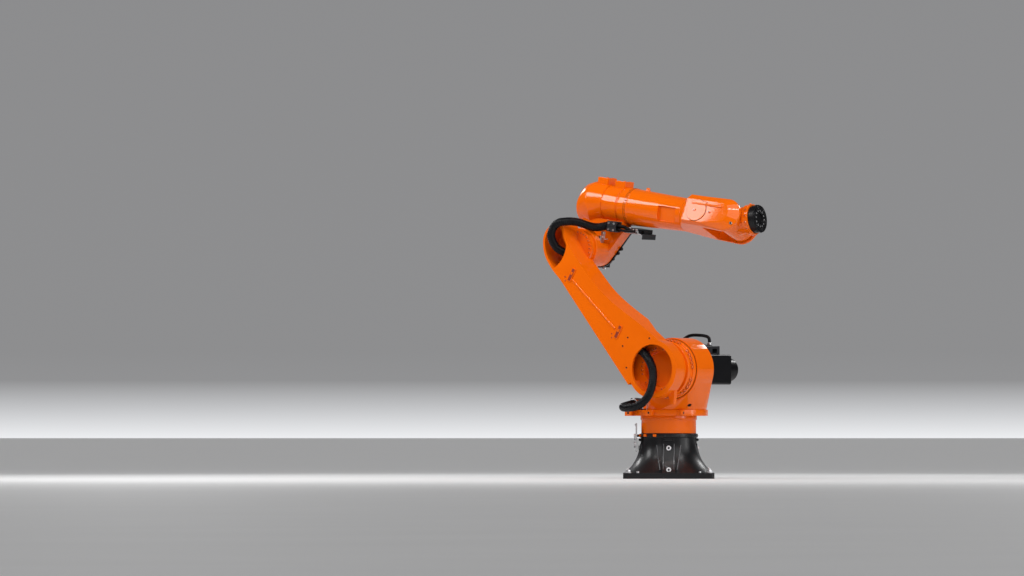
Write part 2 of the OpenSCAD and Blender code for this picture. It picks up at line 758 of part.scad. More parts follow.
// Loop of the upper hose, out of the arm's head and over to the clamp beside the neck
upper_route = [for (z = [hose_gap, 30, 60]) elbow_point(arm_hose_high + z),
    [-45, -322, -22], [-69, -348, 4], [-81, -375, 52], [-68, -380, 103], [-39, -375, 132], [-15, -352, 141],
    [4, -318, 145], [27, -280, 143], [46, -248, 135], [60, -215, 127], [64, -175, 124], [72, -140, 126],
    [84, -114, 133],
    for (x = [-16, 0, 16, clamp_len]) [clamp_x + x, clamp_y, clamp_z]];
module upper_hose() color(rubber) elbow_frame() tube(upper_route, hose_d, [0, 1, 0]);

// Forearm and wrist

// The fork's slot leaves the hand room to swing back as far as its stop
bend_stop = 118;
collar_end = tool_x - flange_t - running_gap;
hand_swing = hand_r * sin(bend_stop) - collar_end * cos(bend_stop);
slot_u = wrist_x - hand_swing - clear;
fork_root = 116;
fork_u = slot_u - fork_root;
swell_len = 60;
shoulder_u = fork_u - swell_len;

collar_len = 18;
collar_step = 2;
pocket_len = 114;
pocket_h = 84;
pocket_floor = 76;
pocket_turn = 25;
pocket_u = shoulder_u - 88;
module forearm_tube() color(paint) wrist_frame() difference() {
    turned([[roll_x, 0], [roll_x, tube_r], [roll_x + collar_len, tube_r],
        [roll_x + collar_len + collar_step, tube_r - collar_step], [shoulder_u, tube_end_r],
        [shoulder_u, 0]]);
    for (side = [-1, 1]) rotate([-side * pocket_turn, 0, 0])
        translate([pocket_u, side * (tube_r + pocket_floor) / 2, 0])
            cube([pocket_len, tube_r - pocket_floor, pocket_h], center = true);
}

// Heights of the fork's section at its full width and at its bevelled faces
body_low = 84;
body_high = 88;
face_low = 72;
face_high = 58;
fork_bevel = 26;
root_lap = 20;
module fork_block(u, len, side, outer) {
    near = outer - fork_bevel;
    translate([u, side > 0 ? 0 : -near, -body_low]) cube([len, near, body_low + body_high]);
    translate([u, side > 0 ? 0 : -outer, -face_low]) cube([len, outer, face_low + face_high]);
}

// A round end of the fork, its outer face smaller than its root
cheek_back = 26;
cheek_round = 34;
module fork_disc(x, r, side, outer)
    translate([x, side > 0 ? slot_half : -outer, 0]) rotate([-90, 0, 0])
        cylinder(r = r, h = outer - slot_half, $fn = 64);

module fork_side(side, outer) hull() {
    fork_disc(wrist_x, fork_r, side, outer - fork_bevel);
    fork_disc(wrist_x - cheek_back, fork_r - cheek_round, side, outer);
    fork_block(slot_u - root_lap, root_lap, side, outer);
}

module wrist_fork() color(paint) wrist_frame() difference() {
    union() {
        hull() {
            translate([shoulder_u, 0, 0]) rotate([0, 90, 0]) cylinder(r = tube_end_r, h = disc_t, $fn = 48);
            fork_block(fork_u, slot_u - fork_u, -1, fork_near);
            fork_block(slot_u - root_lap, root_lap, 1, fork_far);
        }
        fork_side(-1, fork_near);
        fork_side(1, fork_far);
    }
    translate([slot_u, -slot_half, -2 * fork_r]) cube([2 * tool_x, 2 * slot_half, 4 * fork_r]);
}

// A round cover with one square corner on the fork's outer face
cover_t = 4;
cover_r = 62;
cover_u = fork_u + 80;
cover_z = -6;
cover_corner = 54;
module wrist_cover() color(paint) wrist_frame()
    translate([cover_u, 0, cover_z]) side_plate(fork_near, fork_near + cover_t) {
        circle(cover_r);
        square([cover_corner, cover_corner]);
    }

ring_x = 101;
hub_r = 60;
hub_step = 4;
barrel_step = 8;
ring_len = 16;
module hand() color(paint) hand_frame() {
    rotate([90, 0, 0]) cylinder(r = hand_r - hub_step, h = 2 * (slot_half - clear), center = true);
    rotate([90, 0, 0]) cylinder(r = hub_r, h = 2 * (slot_half - running_gap), center = true);
    rotate([0, 90, 0]) cylinder(r = hand_r - barrel_step, h = ring_x);
    translate([ring_x - ring_len, 0, 0]) rotate([0, 90, 0])
        cylinder(r = hand_r, h = collar_end - ring_x + ring_len);
}

pilot_depth = 8;
tool_hole_depth = 18;
module tool_flange() color(motor_black) hand_frame()
    translate([tool_x, 0, 0]) rotate([0, 90, 0]) difference() {
        translate([0, 0, -flange_t]) cylinder(d = flange_d, h = flange_t);
        translate([0, 0, -pilot_depth]) cylinder(d = pilot_d, h = pilot_depth + eps);
        for (turn = [0 : 60 : 300]) rotate([0, 0, turn]) translate([tool_pcd / 2, 0, -tool_hole_depth])
            cylinder(d = tool_hole_d, h = tool_hole_depth + eps, $fn = 32);
    }

foot_plate();
pedestal();
bearing_ring();
rib_bosses();
slew_stops();
panel_bracket();
rear_panel();
slew_drum();
carrier_plate();
column_housing();
shoulder_gear();
motor_adaptor();
shoulder_motor();
shoulder_motor_cap();
motor_terminals();
slew_gearbox();
slew_motor();
slew_motor_cap();
cable_plugs();
motor_cable();
hose_bracket();
shoulder_flange();
link_arm();
arm_clips();
arm_hose();
lower_hose();
elbow_gear();
elbow_housing();
rear_housing();
motor_plate();
elbow_motor();
elbow_motor_cap();
elbow_plugs();
hose_clamp();
side_bracket();
front_bracket();
connector_block();
socket_plate();
elbow_cables();
upper_hose();
forearm_tube();
wrist_fork();
wrist_cover();
hand();
tool_flange();
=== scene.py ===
import logging
import math
from dataclasses import dataclass
from enum import Enum
from itertools import product
from typing import Any, Iterable, Optional, Sequence

import bmesh
import bpy
from bmesh.types import BMEdge, BMVert
from mathutils import Matrix, Vector
from mathutils.bvhtree import BVHTree


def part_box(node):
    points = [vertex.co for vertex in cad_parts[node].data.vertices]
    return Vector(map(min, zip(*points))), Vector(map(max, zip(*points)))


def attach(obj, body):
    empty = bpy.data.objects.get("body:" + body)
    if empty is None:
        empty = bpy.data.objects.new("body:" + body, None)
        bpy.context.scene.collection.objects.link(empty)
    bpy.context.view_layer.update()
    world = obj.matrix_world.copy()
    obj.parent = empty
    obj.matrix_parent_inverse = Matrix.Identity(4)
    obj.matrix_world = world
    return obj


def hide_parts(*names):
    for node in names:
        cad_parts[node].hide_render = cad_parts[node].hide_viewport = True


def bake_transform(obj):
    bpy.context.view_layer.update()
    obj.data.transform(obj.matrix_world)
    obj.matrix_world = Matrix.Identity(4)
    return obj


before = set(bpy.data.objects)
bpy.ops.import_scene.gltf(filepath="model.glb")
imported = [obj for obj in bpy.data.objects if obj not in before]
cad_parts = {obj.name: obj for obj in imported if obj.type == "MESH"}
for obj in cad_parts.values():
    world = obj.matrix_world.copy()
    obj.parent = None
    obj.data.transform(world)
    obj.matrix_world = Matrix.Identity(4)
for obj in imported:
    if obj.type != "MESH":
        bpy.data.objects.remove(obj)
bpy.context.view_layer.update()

LOG = logging.getLogger("robot_arm")
MM = 0.001
SMOOTH_ANGLE = math.radians(40.0)
FLAT_ANGLE = math.radians(0.4)

Point = Sequence[float]
Profile = Sequence[tuple[float, float]]

UP = (0.0, 0.0, 1.0)
AHEAD = (1.0, 0.0, 0.0)
BEHIND = (-1.0, 0.0, 0.0)
ARM_SIDE = (0.0, -1.0, 0.0)
MOTOR_SIDE = (0.0, 1.0, 0.0)


class Body(Enum):
    """Moving bodies of the arm, from the floor to the tool."""

    BASE = "base"
    COLUMN = "column"
    LINK_ARM = "link_arm"
    ELBOW = "elbow"
    FOREARM = "forearm"
    HAND = "hand"
    TOOL = "tool"


class Slot(Enum):
    """Names of material slots."""

    ORANGE = "orange_paint"
    CASTING = "black_casting"
    MOTOR = "black_motor"
    STEEL = "bare_steel"
    DARK = "dark_steel"
    RUBBER = "hose_rubber"


class Socket:
    """A node's output that can be used in Python expressions."""

    def __init__(self, nodes: "Nodes", output: bpy.types.NodeSocket) -> None:
        """Wraps one output socket of a node tree."""
        self.nodes = nodes
        self.output = output

    def _math(self, operation: str, first: Any, second: Any) -> "Socket":
        """Adds a Math node with two values or sockets, and gives its result."""
        made = self.nodes.node("ShaderNodeMath", {"operation": operation}, {0: first, 1: second})
        return Socket(self.nodes, made.outputs[0])

    def __add__(self, other: Any) -> "Socket":
        """Sum of two values."""
        return self._math("ADD", self, other)

    __radd__ = __add__

    def __sub__(self, other: Any) -> "Socket":
        """Difference of two values."""
        return self._math("SUBTRACT", self, other)

    def __rsub__(self, other: Any) -> "Socket":
        """Difference with the plain number first."""
        return self._math("SUBTRACT", other, self)

    def __mul__(self, other: Any) -> "Socket":
        """Product of two values."""
        return self._math("MULTIPLY", self, other)

    __rmul__ = __mul__

    def __pow__(self, other: Any) -> "Socket":
        """Power of a value."""
        return self._math("POWER", self, other)


class Nodes:
    """A node tree that is built up from expressions."""

    def __init__(self, tree: bpy.types.NodeTree) -> None:
        """Starts with an empty tree."""
        self.tree = tree
        tree.nodes.clear()

    def node(self, kind: str, settings: Optional[dict[str, Any]] = None,
             inputs: Optional[dict[Any, Any]] = None) -> bpy.types.Node:
        """Adds any node.

        Args:
            kind: The node's type.
            settings: Its own settings, set first; "stops" fills a colour ramp.
            inputs: Values, wrapped sockets or links by socket name or number.

        Returns:
            The node.
        """
        made = self.tree.nodes.new(kind)
        for key, value in (settings or {}).items():
            if key == "stops":
                self._fill_ramp(made, value)
            else:
                setattr(made, key, value)
        for key, value in (inputs or {}).items():
            self.feed(made.inputs[key], value)
        return made

    def feed(self, socket: bpy.types.NodeSocket, value: Any) -> None:
        """Links a socket, or sets its value.

        Args:
            socket: The input.
            value: A wrapped socket, an output or a plain value.
        """
        if isinstance(value, Socket):
            value = value.output
        if isinstance(value, bpy.types.NodeSocket):
            self.tree.links.new(value, socket)
        else:
            socket.default_value = value

    @staticmethod
    def _fill_ramp(node: bpy.types.Node, stops: Sequence[tuple[float, Point]]) -> None:
        """Sets the stops of a colour ramp.

        Args:
            node: The ramp.
            stops: Position and colour of each stop.
        """
        elements = node.color_ramp.elements
        while len(elements) < len(stops):
            elements.new(0.5)
        for element, (position, colour) in zip(elements, stops):
            element.position = position
            element.color = (*colour, 1.0)


class Shader(Nodes):
    """A material with one Principled shader."""

    def __init__(self, name: str) -> None:
        """Starts a material whose patterns read Object coordinates."""
        self.material = bpy.data.materials.new(name)
        self.material.use_nodes = True
        super().__init__(self.material.node_tree)
        self.surface = self.node("ShaderNodeBsdfPrincipled")
        self.node("ShaderNodeOutputMaterial", None, {"Surface": self.surface.outputs[0]})
        self.place = self.node("ShaderNodeTexCoord").outputs["Object"]

    def noise(self, scale: float, detail: float, stretch: Point = (1.0, 1.0, 1.0)) -> Socket:
        """Noise over the piece's own place.

        Args:
            scale: Waves per metre.
            detail: Octaves of finer noise.
            stretch: Factors on the scale along each axis.

        Returns:
            A value about 0.5.
        """
        mapping = self.node("ShaderNodeMapping", None,
                            {"Vector": self.place, "Scale": tuple(stretch)})
        made = self.node("ShaderNodeTexNoise", None,
                         {"Vector": mapping.outputs[0], "Scale": scale, "Detail": detail})
        return Socket(self, made.outputs["Fac"])

    def blend(self, factor: Socket, low: Point, high: Point) -> Socket:
        """Mixes two colours, the first at a factor of 0 and the second at 1."""
        made = self.node("ShaderNodeMix", {"data_type": "RGBA"},
                         {0: factor, 6: (*low, 1.0), 7: (*high, 1.0)})
        return Socket(self, made.outputs[2])

    def bump(self, height: Socket, depth: float) -> Socket:
        """Turns a height into a normal; a height of 1 is so many metres deep."""
        made = self.node("ShaderNodeBump", None, {"Height": height, "Distance": depth})
        return Socket(self, made.outputs[0])

    def set(self, **sockets: Any) -> None:
        """Feeds sockets of the Principled shader, with underscores for spaces."""
        for key, value in sockets.items():
            self.feed(self.surface.inputs[key.replace("_", " ")], value)


@dataclass(frozen=True)
class Finish:
    """Base of all finishes: a name and one shared material."""

    name: str

    def shade(self, shader: Shader) -> None:
        """Builds the finish's nodes."""
        raise NotImplementedError

    def material(self) -> bpy.types.Material:
        """The finish's material, made once.

        Returns:
            The material.
        """
        title = f"{self.name}_finish"
        found = bpy.data.materials.get(title)
        if found:
            return found
        shader = Shader(title)
        self.shade(shader)
        return shader.material


@dataclass(frozen=True)
class Paint(Finish):
    """Sprayed paint: even colour, a little mottling and a fine orange-peel skin."""

    colour: Point
    shade_colour: Point
    roughness: float
    coat: float
    peel: float
    gloss: float = 0.5

    def shade(self, shader: Shader) -> None:
        """Mottled colour, uneven gloss and peel."""
        cloud = shader.noise(7.0, 4.0)
        skin = shader.noise(420.0, 2.0)
        shader.set(Base_Color=shader.blend(cloud, self.shade_colour, self.colour),
                   Roughness=self.roughness + 0.16 * (cloud - 0.5) + 0.08 * (skin - 0.5),
                   Specular_IOR_Level=self.gloss, Coat_Weight=self.coat, Coat_Roughness=0.05,
                   Normal=shader.bump(skin, self.peel))


@dataclass(frozen=True)
class Casting(Finish):
    """Glossy paint over a sand casting, which shows through as a grain."""

    colour: Point
    shade_colour: Point
    roughness: float
    grain: float
    coat: float

    def shade(self, shader: Shader) -> None:
        """Paint with coarse and fine grain."""
        coarse = shader.noise(55.0, 5.0)
        fine = shader.noise(330.0, 3.0)
        shader.set(Base_Color=shader.blend(coarse, self.shade_colour, self.colour),
                   Roughness=self.roughness + 0.2 * (fine - 0.5), Specular_IOR_Level=0.15,
                   Coat_Weight=self.coat * (0.94 + 0.12 * coarse), Coat_Roughness=0.27,
                   Normal=shader.bump(0.55 * coarse + 0.45 * fine, self.grain))


@dataclass(frozen=True)
class Plated(Finish):
    """Bare or plated metal with a drawn grain."""

    colour: Point
    shade_colour: Point
    roughness: float

    def shade(self, shader: Shader) -> None:
        """Metal with streaks and a clouded gloss."""
        streak = shader.noise(60.0, 3.0, (1.0, 1.0, 14.0))
        cloud = shader.noise(34.0, 4.0)
        shader.set(Base_Color=shader.blend(cloud, self.shade_colour, self.colour), Metallic=1.0,
                   Roughness=self.roughness + 0.14 * (streak - 0.5) + 0.1 * (cloud - 0.5),
                   Normal=shader.bump(streak, 0.00008))


@dataclass(frozen=True)
class Rubber(Finish):
    """Rubber or matt plastic with a dusty bloom."""

    colour: Point
    bloom: Point
    roughness: float

    def shade(self, shader: Shader) -> None:
        """Dark body with a soft bloom and a fine grain."""
        bloom = shader.noise(22.0, 4.0)
        grain = shader.noise(700.0, 2.0)
        shader.set(Base_Color=shader.blend(bloom ** 2.0, self.colour, self.bloom),
                   Roughness=self.roughness + 0.18 * (bloom - 0.5), Specular_IOR_Level=0.12,
                   Normal=shader.bump(grain, 0.00012))


ORANGE = Paint("orange_paint", (0.88, 0.148, 0.002), (0.82, 0.13, 0.0015),
               0.5, 0.75, 0.00002, 0.0)
# Paler copy of the orange paint for screws and rings: glossy paint whose paleness is a painted
# highlight.
ORANGE_HEADS_PAINTED_HIGHLIGHT = Paint("orange_screw_paint_painted_highlight", (0.95, 0.2, 0.02), (0.8, 0.13, 0.006),
                     0.25, 1.0, 0.00003)
# Darkened copy of the orange paint: painted shade for clip slots, key holes and the discs round
# screws.
PAINTED_SHADE = Paint("shaded_orange", (0.3, 0.026, 0.001), (0.2, 0.016, 0.001), 0.6, 0.1, 0.00003)
CASTING = Casting("black_casting", (0.005, 0.005, 0.006), (0.003, 0.003, 0.004),
                  0.45, 0.00015, 0.5)
# Grey copy of the black casting: painted highlight along the raised rib edges.
EDGE_PAINTED_HIGHLIGHT = Paint("casting_edge_painted_highlight", (0.055, 0.055, 0.06), (0.03, 0.03, 0.034), 0.3, 0.7, 0.00003)
ZINC = Paint("bright_zinc", (0.78, 0.78, 0.79), (0.68, 0.68, 0.7), 0.35, 0.3, 0.00003)
MOTOR = Paint("black_motor_paint", (0.0045, 0.0045, 0.0058), (0.003, 0.003, 0.004),
              0.4, 0.15, 0.00004, 0.1)
STEEL = Plated("plated_steel", (0.66, 0.66, 0.67), (0.5, 0.5, 0.52), 0.3)
DARK = Paint("dark_grey_paint", (0.022, 0.023, 0.027), (0.014, 0.015, 0.018),
             0.42, 0.1, 0.00008, 0.3)
FLANGE = Casting("black_flange", (0.006, 0.006, 0.007), (0.0035, 0.0035, 0.0045),
                 0.36, 0.0001, 0.2)
PANEL = Paint("pale_grey_paint", (0.55, 0.56, 0.57), (0.48, 0.49, 0.5), 0.45, 0.1, 0.00006)
HOSE = Rubber("hose_rubber", (0.004, 0.004, 0.005), (0.008, 0.008, 0.0095), 0.28)
CABLE = Rubber("cable_sheath", (0.004, 0.004, 0.005), (0.01, 0.01, 0.012), 0.38)
# Dark rubber for seals and dark joint lines, also painted shade on the floors of holes and key
# holes.
SEAL_AND_HOLE_SHADE = Rubber("dark_seal_and_painted_hole_shade", (0.004, 0.0035, 0.003), (0.009, 0.008, 0.008), 0.6)
PLASTIC = Rubber("connector_plastic", (0.006, 0.006, 0.007), (0.014, 0.014, 0.016), 0.5)
TAG = Rubber("white_plastic", (0.6, 0.6, 0.58), (0.72, 0.72, 0.7), 0.5)


def tuned(place: Point, toward: Point = UP) -> Matrix:
    """A placing matrix at a point in millimetres, with +Z turned to a direction."""
    aimed = Vector(UP).rotation_difference(Vector(toward)).to_matrix().to_4x4()
    return Matrix.Translation(Vector(place) * MM) @ aimed


def turn(degrees: float, axis: str = "Z") -> Matrix:
    """A turn about an axis through the origin."""
    return Matrix.Rotation(math.radians(degrees), 4, axis)


QUARTERS = [turn(90.0 * i) for i in range(4)]


def corners(x: float, y: float) -> list[tuple[float, float]]:
    """The corners of a rectangle, from its half widths."""
    return list(product((-x, x), (-y, y)))


def ring_places(radius: float, angles: Iterable[float], toward: Matrix) -> list[Matrix]:
    """Places round a circle, at angles in degrees, about the +Z axis of a placing matrix."""
    turns = [math.radians(a) for a in angles]
    return [toward @ tuned((radius * math.cos(t), radius * math.sin(t), 0.0)) for t in turns]


def grouped(starts: Iterable[float], count: int, step: float) -> list[float]:
    """Angles in groups: a count of them by a step, from each start."""
    return [s + i * step for s in starts for i in range(count)]


def band(inner: float, outer: float, low: float, high: float) -> Profile:
    """Profile of a flat ring in millimetres."""
    return [(inner, low), (outer, low), (outer, high), (inner, high)]


def route(points: Sequence[Point], spacing: float) -> list[Vector]:
    """A smooth path through points, in even steps.

    Args:
        points: Points in millimetres.
        spacing: Step in millimetres.

    Returns:
        The path's points in metres.
    """
    per_span = 24
    knots = [Vector(p) * MM for p in points]
    fine: list[Vector] = []
    for i in range(len(knots) - 1):
        a, b, c, d = (knots[min(max(i + k, 0), len(knots) - 1)] for k in (-1, 0, 1, 2))
        for t in (k / per_span for k in range(per_span)):
            fine.append(0.5 * (2 * b + (c - a) * t + (2 * a - 5 * b + 4 * c - d) * t * t
                               + (3 * b - a - 3 * c + d) * t ** 3))
    fine.append(knots[-1])
    length = sum((q - p).length for p, q in zip(fine, fine[1:]))
    steps = max(2, round(length / (spacing * MM)))
    even, walked, target = [fine[0].copy()], 0.0, length / steps
    for p, q in zip(fine, fine[1:]):
        leg = (q - p).length
        while leg > 0 and walked + leg >= target * len(even) and len(even) < steps:
            even.append(p.lerp(q, (target * len(even) - walked) / leg))
        walked += leg
    even.append(fine[-1].copy())
    return even


@dataclass(frozen=True)
class Stance:
    """Angles in degrees and distances in millimetres that place the arm's frames at rest."""

    slew: float = -35.0
    lean: float = 41.0
    pitch: float = 8.0
    roll: float = -20.0
    bend: float = -15.0
    shoulder_x: float = 130.0
    shoulder_z: float = 600.0
    arm_length: float = 890.0
    forearm_rise: float = 255.0
    wrist_reach: float = 870.0

    def column(self) -> Matrix:
        """Frame of the turning column."""
        return turn(self.slew)

    def arm(self) -> Matrix:
        """Frame of the link arm, +Z from the shoulder to the elbow."""
        shoulder = tuned((self.shoulder_x, 0.0, self.shoulder_z))
        return self.column() @ shoulder @ turn(-self.lean, "Y")

    def elbow(self) -> Matrix:
        """Frame of the elbow, +X along the forearm."""
        head = tuned((0.0, 0.0, self.arm_length))
        return self.arm() @ head @ turn(self.lean + self.pitch, "Y")

    def forearm(self) -> Matrix:
        """Frame on the forearm's own axis."""
        return self.elbow() @ tuned((0.0, 0.0, self.forearm_rise))

    def wrist(self) -> Matrix:
        """Frame that rolls with the forearm tube."""
        return self.forearm() @ turn(self.roll, "X")

    def hand(self) -> Matrix:
        """Frame of the bending hand, +X towards the tool."""
        return self.wrist() @ tuned((self.wrist_reach, 0.0, 0.0)) @ turn(self.bend, "Y")


STANCE = Stance()


class Form:
    """A mesh in the making, in metres, in one of the arm's frames."""

    def __init__(self, place: Optional[Matrix] = None) -> None:
        """Starts an empty mesh whose pieces are placed by a frame."""
        self.bm = bmesh.new()
        self.frame = place if place is not None else Matrix.Identity(4)

    @classmethod
    def of_node(cls, name: str) -> "Form":
        """A merged copy of a CAD node's mesh.

        Args:
            name: The CAD node.

        Returns:
            The copy, with flat faces joined up.
        """
        made = cls()
        made.bm.from_mesh(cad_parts[name].data)
        bmesh.ops.remove_doubles(made.bm, verts=made.bm.verts, dist=2e-6)
        bmesh.ops.dissolve_limit(made.bm, angle_limit=FLAT_ANGLE, verts=made.bm.verts,
                                 edges=made.bm.edges)
        return made

    def _bevel(self, edges: Iterable[BMEdge], width: float, segments: int) -> None:
        """Bevels edges by a width in millimetres."""
        bmesh.ops.bevel(self.bm, geom=list(edges), offset=width * MM, offset_type="OFFSET",
                        segments=segments, profile=0.5, affect="EDGES", clamp_overlap=True,
                        material=-1)

    def _since(self, before: set[BMVert]) -> list[BMVert]:
        """The vertices that were added since then."""
        return [v for v in self.bm.verts if v not in before]

    def _settle(self, before: set[BMVert], place: Matrix, material: int,
                inner: tuple[float, int] = (0.0, 0)) -> None:
        """Gives a new shape its materials and moves it into place in the frame.

        Args:
            before: The vertices that were there before it.
            place: Where it goes.
            material: Material number of its faces.
            inner: A radius in millimetres and the material number of the faces within it.
        """
        fresh = self._since(before)
        for face in {f for v in fresh for f in v.link_faces}:
            centre = face.calc_center_median()
            within = math.hypot(centre.x, centre.y) < inner[0] * MM
            face.material_index = inner[1] if within else material
        bmesh.ops.transform(self.bm, matrix=self.frame @ place, verts=fresh)

    def soften(self, width: float, angle: float) -> "Form":
        """Bevels the sharp edges.

        Args:
            width: Bevel width in millimetres.
            angle: Least angle of an edge that is bevelled, in degrees.

        Returns:
            This form.
        """
        limit = math.radians(angle)
        self._bevel([e for e in self.bm.edges
                     if len(e.link_faces) == 2 and e.calc_face_angle(0.0) > limit], width, 2)
        return self

    def turned(self, profile: Profile, place: Matrix, steps: int = 24, material: int = 0,
               inner: tuple[float, int] = (0.0, 0)) -> None:
        """Spins a profile into a solid.

        Args:
            profile: Radius and height pairs in millimetres, from the bottom up.
            place: Where its axis stands, +Z along the axis.
            steps: Steps round the axis.
            material: Material number of its faces.
            inner: A radius in millimetres and the material number of the faces within it.
        """
        before = set(self.bm.verts)
        chain = [self.bm.verts.new((r * MM, 0.0, h * MM)) for r, h in profile]
        edges = [self.bm.edges.new(pair) for pair in zip(chain, chain[1:])]
        bmesh.ops.spin(self.bm, geom=chain + edges, cent=(0.0, 0.0, 0.0), axis=UP,
                       angle=math.tau, steps=steps, use_merge=True)
        bmesh.ops.remove_doubles(self.bm, verts=self._since(before), dist=1e-6)
        faces = {f for v in self._since(before) for f in v.link_faces}
        bmesh.ops.recalc_face_normals(self.bm, faces=list(faces))
        self._settle(before, place, material, inner)

    def block(self, size: Point, place: Matrix, bevel: float, material: int = 0) -> None:
        """A box with softened edges.

        Args:
            size: Its sides in millimetres.
            place: Where its centre sits.
            bevel: Edge width in millimetres.
            material: Material number of its faces.
        """
        before = set(self.bm.verts)
        made = bmesh.ops.create_cube(self.bm, size=1.0)["verts"]
        bmesh.ops.scale(self.bm, vec=Vector(size) * MM, verts=made)
        self._bevel({e for v in made for e in v.link_edges}, bevel, 2)
        self._settle(before, place, material)

    def hexagon(self, radius: float, height: float, place: Matrix, bevel: float) -> None:
        """An upright hexagon head or nut.

        Args:
            radius: Corner radius in millimetres.
            height: Height in millimetres.
            place: Where its foot stands, +Z up the head.
            bevel: Edge width in millimetres.
        """
        before = set(self.bm.verts)
        made = bmesh.ops.create_cone(self.bm, cap_ends=True, segments=6, radius1=radius * MM,
                                     radius2=radius * MM, depth=height * MM)["verts"]
        bmesh.ops.translate(self.bm, vec=(0.0, 0.0, height * MM / 2), verts=made)
        self._bevel({e for v in made for e in v.link_edges}, bevel, 1)
        self._settle(before, place, 0)

    def sweep(self, path: Sequence[Vector], radii: Sequence[float], sides: int,
              start: Point) -> None:
        """Draws a round section along a path by extruding it step by step.

        Args:
            path: Points in metres, in the frame.
            radii: Radius at each point, in millimetres.
            sides: Sides of the section.
            start: A direction across the first point's heading.
        """
        across = Vector(start)
        ring = bmesh.ops.create_circle(self.bm, segments=sides, radius=1.0)["verts"]
        first = loop = list({e for v in ring for e in v.link_edges})
        unit = {v: v.co.copy() for v in ring}
        for i, point in enumerate(path):
            heading = (path[min(i + 1, len(path) - 1)] - path[max(i - 1, 0)]).normalized()
            across = (across - across.dot(heading) * heading).normalized()
            aimed = Matrix((across, heading.cross(across), heading)).transposed()
            if i:
                made = bmesh.ops.extrude_edge_only(self.bm, edges=loop)["geom"]
                fresh = [g for g in made if isinstance(g, BMVert)]
                nearest = {v: min(unit, key=lambda u, v=v: (u.co - v.co).length_squared)
                           for v in fresh}
                unit = {v: unit[nearest[v]] for v in fresh}
                loop = [g for g in made if isinstance(g, BMEdge)
                        and g.verts[0] in unit and g.verts[1] in unit]
            for vert, base in unit.items():
                vert.co = self.frame @ (point + aimed @ (base * radii[i] * MM))
        bmesh.ops.holes_fill(self.bm, edges=[e for e in [*first, *loop] if e.is_valid], sides=0)
        bmesh.ops.recalc_face_normals(self.bm, faces=self.bm.faces)

    def cord(self, path: Sequence[Vector], radius: float, sides: int, start: Point) -> None:
        """Draws a section of one radius in millimetres along a path."""
        self.sweep(path, [radius] * len(path), sides, start)

    def piece(self, name: str, body: Body, finishes: Sequence[Finish], slot: Slot,
              stands_for: Sequence[str] = (), rides: bool = True) -> bpy.types.Object:
        """Ends the mesh and makes it a piece of the arm.

        Args:
            name: The piece's name.
            body: The body on which it rides.
            finishes: Its finishes, by material number.
            slot: Not used.
            stands_for: CAD nodes that it replaces.
            rides: Whether it rides on the body at once.

        Returns:
            The object.
        """
        mesh = bpy.data.meshes.new(name)
        self.bm.to_mesh(mesh)
        self.bm.free()
        mesh.shade_smooth()
        mesh.set_sharp_from_angle(angle=SMOOTH_ANGLE)
        for finish in finishes:
            mesh.materials.append(finish.material())
        made = bpy.data.objects.new(name, mesh)
        bpy.context.scene.collection.objects.link(made)
        even = made.modifiers.new("even_normals", "WEIGHTED_NORMAL")
        even.keep_sharp = True
        if rides:
            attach(made, body.value)
        if stands_for:
            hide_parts(*stands_for)
        LOG.info("piece %s on %s: %d faces", name, body.value, len(mesh.polygons))
        return made


class Surface:
    """Finds places on the outside of a CAD node."""

    START = -3.0

    def __init__(self, node: str) -> None:
        """Builds the search tree of a node's mesh."""
        bm = bmesh.new()
        bm.from_mesh(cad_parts[node].data)
        self.tree = BVHTree.FromBMesh(bm)
        bm.free()

    def front(self, x: float, z: float, spin: Optional[Matrix] = None) -> Matrix:
        """The first place that a straight line from the front meets.

        Args:
            x: Place across, in millimetres.
            z: Height in millimetres.
            spin: A turn of the line about the column's axis.

        Returns:
            A placing matrix with +Z out of the surface.
        """
        spin = spin or Matrix.Identity(4)
        spot, normal, _, _ = self.tree.ray_cast(spin @ Vector((x * MM, self.START, z * MM)),
                                                spin.to_3x3() @ Vector(MOTOR_SIDE))
        if spot is None:
            raise ValueError(f"no surface at {x}, {z}")
        return tuned(spot / MM, normal)


@dataclass(frozen=True)
class Fastener:
    """Base of the fasteners: a radius and a height in millimetres."""

    radius: float
    height: float

    def draw(self, form: Form, place: Matrix) -> None:
        """Draws one fastener."""
        raise NotImplementedError


@dataclass(frozen=True)
class Screw(Fastener):
    """A socket-head screw."""

    def draw(self, form: Form, place: Matrix) -> None:
        """Draws the head, its key hole in the second material, a dark one as painted shade."""
        edge, key, floor = 0.14 * self.radius, 0.5 * self.radius, 0.35 * self.height
        form.turned([(self.radius, -1.0), (self.radius, self.height - edge),
                     (self.radius - edge, self.height), (key, self.height), (key, floor),
                     (0.0, floor)], place, 12, 0, (0.49 * self.radius, 1))


@dataclass(frozen=True)
class Hexagon(Fastener):
    """A hexagon head, with the width of its bevelled edges."""

    edge: float = 0.7

    def draw(self, form: Form, place: Matrix) -> None:
        """Draws the head."""
        form.hexagon(self.radius, self.height, place, self.edge)


@dataclass(frozen=True)
class Eyelet(Fastener):
    """A raised ring round a hole whose shallow floor is darkened as painted shade."""

    hole: float

    def draw(self, form: Form, place: Matrix) -> None:
        """Draws the ring, its hole in the second material, a dark one as painted shade."""
        step = 0.6 * self.height
        form.turned([(self.radius, -1.0), (self.radius, step), (self.radius - 0.8, self.height),
                     (self.hole + 0.6, self.height), (self.hole, step), (self.hole, 0.2),
                     (0.0, 0.2)], place, 20, 0, (self.hole, 1))


def fasten(name: str, body: Body, finishes: Sequence[Finish], slot: Slot,
           *sets: tuple[Fastener, Iterable[Matrix]]) -> None:
    """Makes a piece of fasteners.

    Args:
        name: The piece's name.
        body: The body on which it rides.
        finishes: Finishes of the heads and of their holes.
        slot: Handed on to the piece.
        sets: Kinds of fastener, each with its places.
    """
    form = Form()
    for kind, places in sets:
        for place in places:
            kind.draw(form, place)
    form.piece(name, body, finishes, slot)


